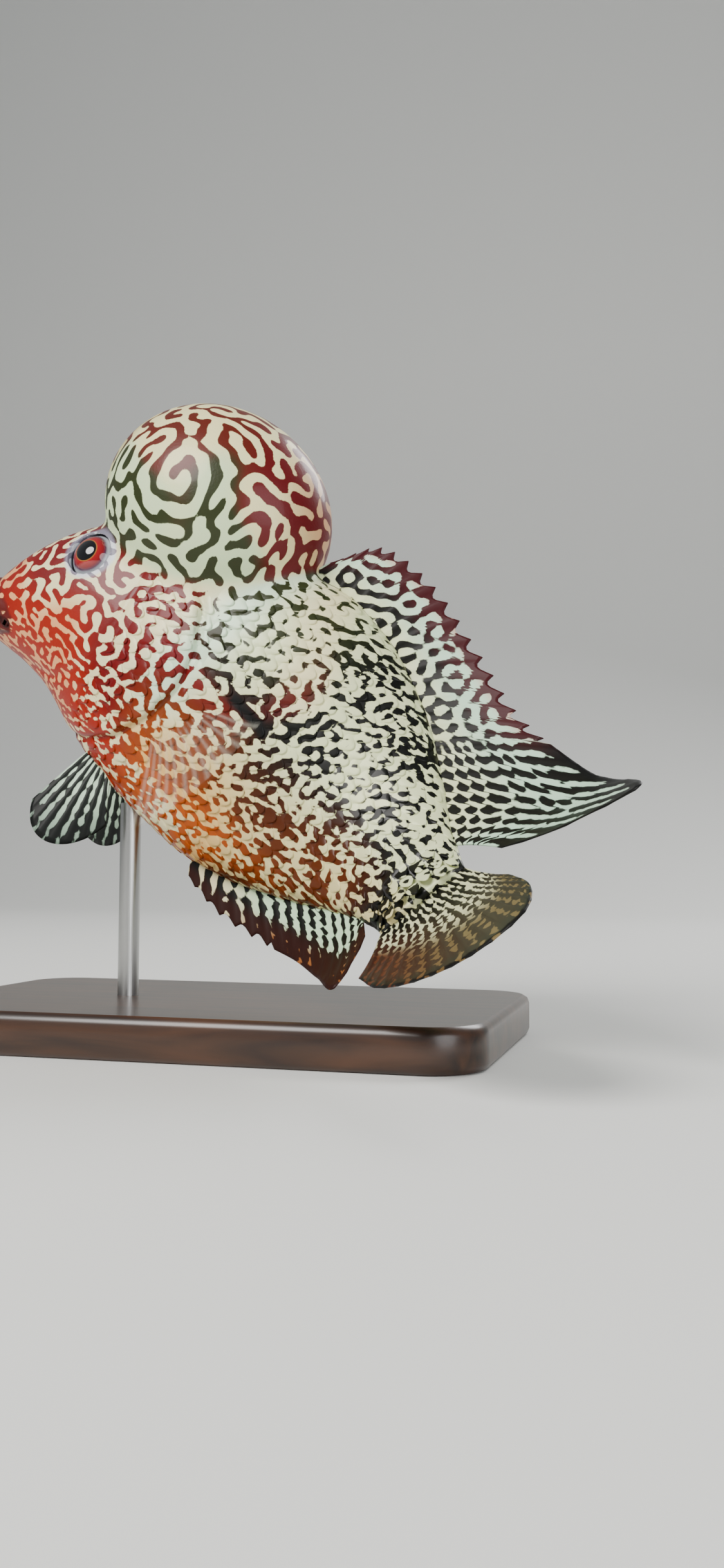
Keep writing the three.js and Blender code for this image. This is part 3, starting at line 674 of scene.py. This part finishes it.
# Wet eye: a black pupil in a blood-red iris with a thin gold ring, silver towards the rim
eye_wet = {"Roughness": 0.05, "IOR": 1.38, "Coat Weight": 1.0, "Coat Roughness": 0.02}
eye_skin, tree, shader = material("eye", eye_wet)
turn_value = node(tree, "ShaderNodeAttribute", {"attribute_name": "turn"})
bands = node(tree, "ShaderNodeValToRGB", {"Fac": turn_value.outputs["Fac"]})
set_stops(
    bands,
    (
        (0.0, "#050507"),
        (0.44, "#050507"),
        (0.47, "#a8702c"),
        (0.5, "#9c0a12"),
        (0.72, "#7c0810"),
        (0.82, "#4a2440"),
        (0.92, "#a9afb6"),
        (1.0, "#d0d4d6"),
    ),
)
tree.links.new(bands.outputs["Color"], shader.inputs["Base Color"])
# Walnut stained nearly black, under satin varnish, its grain about 2 mm apart
varnish = {"Roughness": 0.34, "Coat Weight": 0.3, "Coat Roughness": 0.2}
wood, tree, shader = material("stained walnut", varnish)
place = node(tree, "ShaderNodeTexCoord")
laid = node(tree, "ShaderNodeMapping", {"Vector": place.outputs["Object"], "Scale": (40.0, 520.0, 300.0)})
grain = node(
    tree,
    "ShaderNodeTexNoise",
    {"Vector": laid.outputs["Vector"], "Scale": 1.0, "Detail": 5.0, "Distortion": 0.6},
)
tone = node(tree, "ShaderNodeValToRGB", {"Fac": grain.outputs["Fac"]})
set_stops(tone, ((0.3, "#1c0f08"), (0.72, "#4a2d1a")))
tree.links.new(tone.outputs["Color"], shader.inputs["Base Color"])
# Steel brushed along the rod, and the paper of the studio's floor
brushed = {"Base Color": colour("#b8b8b6"), "Metallic": 1.0, "Roughness": 0.28}
steel, tree, shader = material("brushed steel", brushed)
paper, tree, shader = material("matt paper", {"Base Color": colour("#e6e6e2"), "Roughness": 0.9})


def side_map(points):
    """Unwrap of the skin's own shape: the left flank in one half of the square, the right in the other."""
    right = points[..., 1] > 0
    across = 0.02 + points[..., 0] / LENGTH * 0.46 + right * 0.5
    return np.stack([across, 0.3 + points[..., 2] / LENGTH * 0.46], -1)


flesh_nodes = ["head", "nuchal_hump", "gill_cover_left", "gill_cover_right"]
flesh_nodes += ["torso_front", "torso_rear", "tail_stalk"]
skin_marks = [("ground", skin_ground), ("pale", skin_pale), ("maze", skin_maze), ("fine", skin_fine)]
skin_map = side_map(skin_points)
add_piece("skin_look", posed(skin_points), skin_faces, wet_skin, flesh_nodes, skin_marks, skin_map)

# Scales
# Thin bony plates in rows along the flank, each rooted in the skin and overlapping the next one tailward.

SCALE_STEP = 2.35  # along a row
ROW_STEP = 2.25  # between rows
SCALE_LENGTH, SCALE_WIDTH = 3.5, 2.9
PLATE_ALONG = np.array((0, 0.25, 0.5, 0.72, 0.9, 1.0, 1.0))  # shares of the length, the rim turned down
PLATE_LIFT = np.array((-0.25, -0.1, 0.0, 0.06, 0.09, 0.1, -0.1))  # height at each, from the buried root
PLATE_COLUMNS = 7


def scale_places():
    """Root points in rows at even distances from the middle of the flank, every other row half a step
    on, and whether each lies on the gill cover."""
    found = []
    for column, x in enumerate(np.arange(0.262 * LENGTH, 0.985 * LENGTH, SCALE_STEP / 2)):
        at = np.sqrt(np.array([x / LENGTH]))
        back, belly, wide = (smooth_curve(np.sqrt(STATION), t, at)[0] * LENGTH for t in (BACK, BELLY, HALF))
        turn = np.linspace(0, np.pi / 2, 200)
        high = (back - belly) / 2
        arc = np.cumsum(np.hypot(wide * np.sin(turn), high * np.cos(turn))) * (turn[1] - turn[0])
        for row in range(-14, 15):
            if (row + column) % 2 or abs(row) * ROW_STEP > arc[-1] - 0.4:
                continue
            angle = np.interp(abs(row) * ROW_STEP, arc, turn) * np.sign(row)
            found.append((x, wide * np.cos(angle), (back + belly) / 2 + high * np.sin(angle)))
    found = np.array(found)
    found += draws.normal(size=found.shape) * (0.09, 0, 0.07)
    past_gill = side_of(found, GILL_EDGE)
    clear_of_hump = egg(found, HUMP_CENTRE, HUMP_RADII) > 0.9
    under_gill = (past_gill < 0.7) & (past_gill > -1.4)
    keep = clear_of_hump & ~under_gill & (side_of(found, CHEEK_EDGE) > 0.8)
    return found[keep], past_gill[keep] < 0


roots, on_cover = scale_places()
roots = np.concatenate([roots, roots * (1, -1, 1)])
on_cover = np.concatenate([on_cover, on_cover])
normal = slope_of(roots, flesh)
normal /= np.linalg.norm(normal, axis=1, keepdims=True)
size = np.where(on_cover, 0.82, 1.0) * (1 - 0.3 * ramp(roots[:, 0] / LENGTH, 0.75, 1.0))
size *= draws.uniform(0.95, 1.05, len(roots))
tailward = np.array((1.0, 0, 0)) - normal * normal[:, :1]
tailward /= np.linalg.norm(tailward, axis=1, keepdims=True)
across = np.cross(normal, tailward)
a, b = np.meshgrid(PLATE_ALONG, np.linspace(-1, 1, PLATE_COLUMNS), indexing="ij")
lift = PLATE_LIFT[:, None] - 0.05 * b**2
lift = np.where(np.abs(b) == 1, np.minimum(lift, -0.08), lift)
outline_half = SCALE_WIDTH / 2 * np.sqrt(np.clip(1 - ((a - 0.42) / 0.72) ** 2, 0, 1))
rounded = a * SCALE_LENGTH - 0.42 * b**2 * a * SCALE_LENGTH * 0.5 - 0.35 * SCALE_LENGTH
plates = (
    roots[:, None, None]
    + tailward[:, None, None] * (rounded * size[:, None, None])[..., None]
    + across[:, None, None] * (outline_half * b * size[:, None, None])[..., None]
)
plates = pulled(plates, 0.0, 3)
up = slope_of(plates, flesh)
up /= np.maximum(np.linalg.norm(up, axis=-1, keepdims=True), 1e-6)
plates = plates + up * ((lift - SKIN_DEPTH + 0.09) * size[:, None, None])[..., None]
at = np.arange(a.size).reshape(a.shape)
quad = np.stack([at[:-1, :-1], at[1:, :-1], at[1:, 1:], at[:-1, 1:]], -1).reshape(-1, 4)
faces = (quad[None] + a.size * np.arange(len(roots))[:, None, None]).reshape(-1, 4)
scale_points = plates.reshape(-1, 3)
tree_of_skin = kdtree.KDTree(len(skin_points))
for index, p in enumerate(skin_points):
    tree_of_skin.insert(p, index)
tree_of_skin.balance()
nearest = [tree_of_skin.find_n(p, 3) for p in scale_points]
picked = np.array([[hit[1] for hit in hits] for hits in nearest])
closeness = 1 / (np.array([[hit[2] for hit in hits] for hits in nearest]) + 0.02)
closeness /= closeness.sum(1, keepdims=True)
scale_marks = [
    (key, (values[picked] * (closeness[..., None] if values.ndim > 1 else closeness)).sum(1))
    for key, values in skin_marks
]
spot = (side_map(roots)[:, None] + 0.003 * (np.stack([a, b], -1).reshape(-1, 2) * 0.5)[None]).reshape(-1, 2)
add_piece("scales_look", posed(scale_points), faces, wet_scale, flesh_nodes, scale_marks, spot)


# Fins
# Thin elastic membrane over bony rays that fork towards the edge, rooted in the skin. The first rays of the
# back and anal fins are stiff spines.

MEMBRANE_HALF = 0.12  # half the thickness between rays, at the root
RAY_RISE = 0.13  # how far a ray stands out of it
RAY_SAMPLES = 6
NUDGE = 0.005  # share of a fin over which its slope is taken


def fin_colours(name, points, uv, rays):
    """Ground, pale and maze values of a fin: rows of spots and streaks between the rays, dark at the
    edge."""
    u, v = uv[:, 0], uv[:, 1]
    between = -np.cos(2 * np.pi * (u * rays - 0.5))
    which = np.floor(u * rays)
    wander = waves(points, 9, seed=11)
    rough = waves(points, 1.9, (0.8, 0, 0.6), 1.25, seed=12, flat=True)
    if "pectoral" in name:
        return [("maze", np.clip(-between, 0, 1))]
    if name == "dorsal_fin":
        soft = ramp(u, 0.6, 0.72)
        spots = 0.7 * between + 0.9 * np.cos(2 * np.pi * (v * 15 + 0.5 * (which % 2) + 0.3 * wander)) - 0.1
        streaks = 1.0 * between - 0.35 + 0.35 * rough
        spiny = rough + 0.12 + 0.6 * between * ramp(v, 0.4, 0.8) - 1.6 * ramp(v, 0.78, 0.92)
        outer = ramp(v, 0.6, 0.8)
        fine = spots * (1 - outer) + streaks * outer
        maze = spiny * (1 - soft) + fine * soft
        maze -= 2.2 * ramp(v, 0.9, 0.98) * soft * (between > -0.9)
        ground = mixed(linear("#0c0c07"), linear("#3c050c"), (1 - soft) * ramp(v, 0.45, 0.8))
        ground = mixed(ground, linear("#090908"), soft * ramp(v, 0.85, 0.97))
        pale = mixed(linear("#dfe3b4"), linear("#bfe0c4"), ramp(v + 0.3 * u, 0.3, 0.8))
        pale = mixed(pale, linear("#c9a392"), (1 - soft) * ramp(v, 0.75, 0.95))
        pale = mixed(pale, linear("#8f8f83"), soft * ramp(v, 0.85, 1.0))
    elif name == "anal_fin":
        bars = 1.0 * between + 0.05 + 0.55 * rough
        rear_spots = 0.8 * between + 0.8 * np.cos(2 * np.pi * (v * 8 + 0.5 * (which % 2) + 0.3 * wander))
        maze = np.where(u > 0.6, rear_spots, bars) - 1.3 * ramp(v, 0.5, 0.72) + 0.2 * wander
        ground = mixed(linear("#0a0e08"), linear("#2a0d06"), ramp(v, 0.45, 0.75))
        pale = mixed(linear("#c4e4bc"), linear("#94582a"), ramp(v, 0.5, 0.85))
        pale = mixed(pale, linear("#e6dcae"), 1 - ramp(u, 0.15, 0.4))
    elif name == "caudal_fin":
        netted = 0.7 * between + 0.7 * np.cos(2 * np.pi * (v * 17 + 0.5 * (which % 2) + 0.3 * wander))
        maze = netted + 0.5 * rough - 0.5 * ramp(v, 0.45, 0.95) - 0.15
        ground = mixed(linear("#090805"), linear("#1c0d06"), ramp(v, 0.15, 0.5))
        ground = mixed(ground, linear("#300704"), ramp(u, 0.35, 0.8) * ramp(v, 0.1, 0.4))
        ground = mixed(ground, linear("#080706"), ramp(v, 0.86, 0.97))
        pale = mixed(linear("#dfe0b0"), linear("#6c5a34"), ramp(v, 0.35, 0.7))
        pale = mixed(pale, linear("#54200c"), ramp(u, 0.45, 0.85) * ramp(v, 0.25, 0.55))
    else:
        maze = 1.0 * between - 0.35 + 0.5 * rough - 0.4 * ramp(v, 0.7, 1)
        ground = mixed(linear("#161c16"), linear("#0b0e0c"), ramp(v, 0.3, 0.9))
        pale = mixed(linear("#c2dcc0"), linear("#849a88"), ramp(v, 0.4, 0.95))
    fine = np.full(len(points), {"caudal_fin": 0.35, "anal_fin": 0.2, "dorsal_fin": 0.14}.get(name, 0.1))
    maze = np.clip(maze, -MAZE_LIMIT, MAZE_LIMIT)
    return [("ground", ground), ("pale", pale), ("maze", maze), ("fine", fine)]


def fin_map(uv, side):
    """Both faces of a fin side by side in the square."""
    return np.stack([uv[:, 0] * 0.48 + side * 0.5, uv[:, 1] * 0.96 + 0.02], 1)


def fin_sheet(place, rays, rows, thick, ridge, spines=0):
    """Closed sheet whose two faces swell over each ray and thin towards the edge, with its (u, v). Between
    the stiff spines at the front the edge dips."""
    columns = rays * RAY_SAMPLES + 1
    u, v = np.meshgrid(np.linspace(0, 1, columns), np.linspace(0, 1, rows + 1), indexing="ij")
    v = v * (1 - 0.1 * (u < spines / rays) * (0.5 + 0.5 * np.cos(2 * np.pi * u * rays)) ** 0.6)
    middle = place(u, v)
    across = place(np.minimum(u + NUDGE, 1), v) - place(np.maximum(u - NUDGE, 0), v)
    along = place(u, np.minimum(v + NUDGE, 1)) - place(u, np.maximum(v - NUDGE, 0))
    normal = np.cross(across, along)
    normal /= np.maximum(np.linalg.norm(normal, axis=-1, keepdims=True), 1e-9)
    round_ray = np.maximum(0, np.cos(2 * np.pi * (u * rays - 0.5))) ** 1.5
    half = (thick + ridge * round_ray) * (1 - 0.5 * v * v)
    points = np.concatenate([middle - normal * half[..., None], middle + normal * half[..., None]])
    points = points.reshape(-1, 3)
    at = np.arange(2 * columns * (rows + 1)).reshape(2, columns, rows + 1)
    a, b, c, d = at[:, :-1, :-1], at[:, 1:, :-1], at[:, 1:, 1:], at[:, :-1, 1:]
    faces = [np.stack([a[0], d[0], c[0], b[0]], -1), np.stack([a[1], b[1], c[1], d[1]], -1)]
    root_and_edge = ((at[0, :, 0], at[1, :, 0]), (at[1, :, -1], at[0, :, -1]))
    first_and_last = ((at[1, 0], at[0, 0]), (at[0, -1], at[1, -1]))
    for low_row, high_row in root_and_edge + first_and_last:
        faces.append(np.stack([low_row[:-1], low_row[1:], high_row[1:], high_row[:-1]], -1)[:, None])
    faces = np.vstack([f.reshape(-1, 4) for f in faces])
    uv = np.stack([np.tile(u.ravel(), 2), np.tile(v.ravel(), 2)], 1)
    side = np.repeat([0, 1], u.size)
    return points, faces, uv, side


def line_through(marks):
    """Catmull-Rom curve through marks of the middle plane, given as shares of the length."""
    marks = np.array(marks) * LENGTH
    ends = np.vstack([2 * marks[0] - marks[1], marks, 2 * marks[-1] - marks[-2]])
    spans = len(marks) - 1

    def at(u):
        """Cubic Hermite piece between two marks, each slope half the step between its neighbours."""
        i = np.minimum((u * spans).astype(int), spans - 1)
        t = (u * spans - i)[..., None]
        a, b, c, d = (ends[i + k] for k in range(4))
        m, n = (c - a) / 2, (d - b) / 2
        near = b * (1 + 2 * t) * (1 - t) ** 2 + m * t * (1 - t) ** 2
        return near + c * t * t * (3 - 2 * t) - n * t * t * (1 - t)

    return at


def middle_fin(root_line, edge_line, lean):
    """A fin of the middle plane between its root and edge lines, each ray bowed by the lean."""
    root, edge = line_through(root_line), line_through(edge_line)

    def place(u, v):
        """Straight blend of root and edge, moved tailward by the lean times v (1 - v)."""
        xz = root(u) * (1 - v)[..., None] + edge(u) * v[..., None]
        return np.stack([xz[..., 0] + lean * LENGTH * v * (1 - v), 0 * u, xz[..., 1]], -1)

    return place


def paired_fin(fin, way):
    """A fin that fans out of a short root on the flank between its first and last ray."""
    root, run, first, last = (np.array(fin[key]) * LENGTH for key in ("root", "run", "first", "last"))

    def place(u, v):
        """Root point plus a blend of the first and last ray, rounded between them, cupped by v squared."""
        reach = v * (1 + fin["round"] * np.sin(np.pi * u))
        p = root + run * u[..., None] + first * ((1 - u) * reach)[..., None] + last * (u * reach)[..., None]
        p[..., 1] += fin["cup"] * LENGTH * v * v
        return p * (1, way, 1)

    return place


DORSAL = middle_fin(
    [(0.445, 0.26), (0.54, 0.265), (0.64, 0.24), (0.74, 0.188), (0.83, 0.128), (0.918, 0.082)],
    [(0.475, 0.33), (0.53, 0.387), (0.63, 0.38), (0.74, 0.336), (0.85, 0.295)]
    + [(0.97, 0.295), (1.16, 0.328), (1.0, 0.14)],
    -0.03,
)
ANAL = middle_fin(
    [(0.55, -0.168), (0.63, -0.155), (0.72, -0.128), (0.81, -0.095), (0.885, -0.065)],
    [(0.565, -0.222), (0.65, -0.232), (0.75, -0.216), (0.85, -0.192)]
    + [(0.95, -0.175), (1.04, -0.152), (0.95, -0.085)],
    -0.03,
)
CAUDAL = middle_fin(
    [(0.975, 0.08), (0.982, 0.045), (0.985, 0.01), (0.982, -0.025), (0.975, -0.06)],
    [(1.12, 0.136), (1.245, 0.164), (1.335, 0.152), (1.352, 0.082)]
    + [(1.3, 0.002), (1.2, -0.068), (1.08, -0.11)],
    0,
)
PECTORAL = {
    "root": (0.418, 0.085, 0.02),
    "run": (-0.018, 0, -0.052),
    "first": (0.2, 0.085, 0.05),
    "last": (0.11, 0.085, -0.14),
    "round": 0.18,
    "cup": 0.02,
}
PELVIC = {
    "root": (0.315, 0.03, -0.13),
    "run": (0.04, 0, -0.008),
    "first": (-0.02, 0.055, -0.125),
    "last": (0.06, 0.03, -0.085),
    "round": 0.5,
    "cup": -0.01,
}
FINS = [
    ("dorsal_fin", DORSAL, 26, 26, fin_skin, "fin"),
    ("anal_fin", ANAL, 15, 20, fin_skin, "fin"),
    ("caudal_fin", CAUDAL, 17, 28, fin_skin, "fin"),
    ("pectoral_fin_left", paired_fin(PECTORAL, -1), 13, 22, clear_skin, "clear_fin"),
    ("pectoral_fin_right", paired_fin(PECTORAL, 1), 13, 22, clear_skin, "clear_fin"),
    ("pelvic_fin_left", paired_fin(PELVIC, -1), 7, 18, fin_skin, "fin"),
    ("pelvic_fin_right", paired_fin(PELVIC, 1), 7, 18, fin_skin, "fin"),
]
SPINES = {"dorsal_fin": 17, "anal_fin": 6}
for name, place, rays, rows, membrane, slot_name in FINS:
    points, faces, uv, side = fin_sheet(place, rays, rows, MEMBRANE_HALF, RAY_RISE, SPINES.get(name, 0))
    marks = fin_colours(name, points, uv, rays)
    add_piece(name + "_look", posed(points), faces, membrane, [name], marks, fin_map(uv, side))

# Eyes
# A ball under a clear cornea, with a red iris and a wide dark pupil, set in its socket.

FACING = EYE_WAY / np.linalg.norm(EYE_WAY)
EYE_GAP = 0.02  # between the ball and the solids' own
rows, columns = 48, 64
for way, name in ((-1, "eye_left"), (1, "eye_right")):
    turn, round_ = np.meshgrid(
        np.linspace(0.0, np.pi, rows), np.linspace(0, 2 * np.pi, columns, endpoint=False), indexing="ij"
    )
    out = FACING * (1, way, 1)
    side = np.cross(out, (0, 0, 1))
    side /= np.linalg.norm(side)
    up = np.cross(side, out)
    ring = np.cos(round_)[..., None] * side + np.sin(round_)[..., None] * up
    unit = np.cos(turn)[..., None] * out + np.sin(turn)[..., None] * ring
    points = (EYE_CENTRE * (1, way, 1) + (EYE_RADIUS - EYE_GAP) * unit).reshape(-1, 3)
    at = np.arange(rows * columns).reshape(rows, columns)
    after = np.roll(at, -1, 1)
    faces = np.stack([at[:-1], at[1:], after[1:], after[:-1]], -1).reshape(-1, 4)
    faces = faces if way < 0 else faces[:, ::-1]
    add_piece(name + "_ball", posed(points), faces, eye_skin, [name], [("turn", turn.ravel())])

# Display stand
# Flat base of dark stained hardwood with softened edges, and one plain steel rod up to the belly.

CORNER = 0.008  # radius of the base's corners
BASE_TOP = 0.006
RIM_POINTS = 96
# Height of each ring round the base, and how far its edge is softened inward there
BASE_RINGS = ((0, 0.0008), (0.0003, 0.0003), (0.001, 0), (0.0048, 0), (0.0056, 0.0003), (BASE_TOP, 0.001))
low, high = (np.array(c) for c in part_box("stand_base"))
middle = (low + high) / 2
half_x, half_y = (high - low)[:2] / 2
rings = []
for level, inset in BASE_RINGS:
    turn = np.linspace(0, 2 * np.pi, RIM_POINTS, endpoint=False) + np.pi / RIM_POINTS
    corner = CORNER - inset
    x = np.sign(np.cos(turn)) * (half_x - CORNER) + corner * np.cos(turn)
    y = np.sign(np.sin(turn)) * (half_y - CORNER) + corner * np.sin(turn)
    rings.append(np.stack([middle[0] + x, middle[1] + y, np.full(RIM_POINTS, level)], 1))
points = np.vstack(rings + [[[middle[0], middle[1], 0]], [[middle[0], middle[1], BASE_TOP]]])
at = np.arange(RIM_POINTS * len(rings)).reshape(len(rings), RIM_POINTS)
after = np.roll(at, -1, 1)
walls = np.stack([at[:-1], after[:-1], after[1:], at[1:]], -1).reshape(-1, 4)
floor_cap = np.stack([np.full(RIM_POINTS, len(points) - 2), after[0], at[0]], 1)
top_cap = np.stack([np.full(RIM_POINTS, len(points) - 1), at[-1], after[-1]], 1)
add_piece("base_look", points, walls, wood, ["stand_base"])
add_piece("base_caps", points, np.vstack([floor_cap, top_cap]), wood, ["stand_base"])
low, high = (np.array(c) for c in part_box("stand_rod"))
bpy.ops.mesh.primitive_cylinder_add(
    vertices=48, radius=(high[0] - low[0]) / 2, depth=high[2] - low[2], location=(low + high) / 2
)
rod = bpy.context.object
rod.name = "rod_look"
rod.data.transform(rod.matrix_world)
rod.matrix_world = Matrix()
rod.data.materials.append(steel)
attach(rod, "root")
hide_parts("stand_rod")

# Studio
# A pale matt floor that rises behind, a large soft key above the left flank, a fill and a rim light.

HALF_FLOOR, FRONT, COVE, WALL_TOP = 3.0, -1.2, 0.5, 2.2  # metres
curve = np.linspace(0, np.pi / 2, 24)[1:]
cove = [(COVE + COVE * np.sin(a), COVE - COVE * np.cos(a)) for a in curve]
profile = np.array([(FRONT, 0.0), (COVE, 0.0)] + cove + [(2 * COVE, WALL_TOP)])
points = np.array([(x, y, z) for x in (-HALF_FLOOR, HALF_FLOOR) for y, z in profile])
count = len(profile)
faces = [(k, count + k, count + k + 1, k + 1) for k in range(count - 1)]
mesh = bpy.data.meshes.new("floor")
mesh.from_pydata([tuple(p) for p in points], [], faces)
mesh.polygons.foreach_set("use_smooth", np.ones(len(faces), bool))
floor = bpy.data.objects.new("floor", mesh)
bpy.context.collection.objects.link(floor)
mesh.materials.append(paper)


def soft_light(name, place, size, watts, tint):
    """A round area light at a place, turned to the fish."""
    data = bpy.data.lights.new(name, "AREA")
    data.shape = "DISK"
    data.size, data.energy, data.color = size, watts, tint
    light = bpy.data.objects.new(name, data)
    bpy.context.collection.objects.link(light)
    light.location = place
    light.rotation_euler = (LIGHT_AIM - Vector(place)).to_track_quat("-Z", "Y").to_euler()


LIGHT_AIM = Vector((0, 0, 0.06))
soft_light("key", (-0.25, -0.5, 0.5), 0.4, 6.6, (1.0, 0.98, 0.95))
soft_light("fill", (0.5, -0.5, 0.2), 0.5, 2.4, (0.97, 0.98, 1.0))
soft_light("rim", (0.25, 0.5, 0.5), 0.35, 3.0, (1.0, 1.0, 1.0))
world = bpy.data.worlds.new("studio")
world.use_nodes = True
world.node_tree.nodes["Background"].inputs["Color"].default_value = (0.9, 0.95, 1.0, 1)
world.node_tree.nodes["Background"].inputs["Strength"].default_value = 0.3
bpy.context.scene.world = world

# Camera
# It stands where the photograph was taken: level with the fish, a little behind its left flank.

PIVOT = tip_up(np.array((45.0, 0, 0))) + PLACE
TURN, RISE, LEAN = np.radians((-15.2, -3.6, -0.3))
DISTANCE, ACROSS, ABOVE = 195.8, -21.3, 7.7  # mm from the pivot, in the camera's own directions
SENSOR = 36.0
FOCAL_PIXELS, PHOTO_PIXELS = 2000, 2436  # focal length and longer side of the photograph
to_camera = (
    Matrix.Rotation(-LEAN, 3, "Y") @ Matrix.Rotation(RISE, 3, "X") @ Matrix.Rotation(TURN, 3, "Z")
)
back = to_camera.transposed()
data = bpy.data.cameras.new("camera")
data.sensor_width, data.lens = SENSOR, FOCAL_PIXELS * SENSOR / PHOTO_PIXELS
data.clip_start, data.clip_end = 0.01, 20
camera = bpy.data.objects.new("camera", data)
bpy.context.collection.objects.link(camera)
camera.location = (Vector(PIVOT) + back @ Vector((-ACROSS, -DISTANCE, -ABOVE))) / 1000
camera.rotation_euler = (back @ Matrix(((1, 0, 0), (0, 0, -1), (0, 1, 0)))).to_euler()
bpy.context.scene.camera = camera
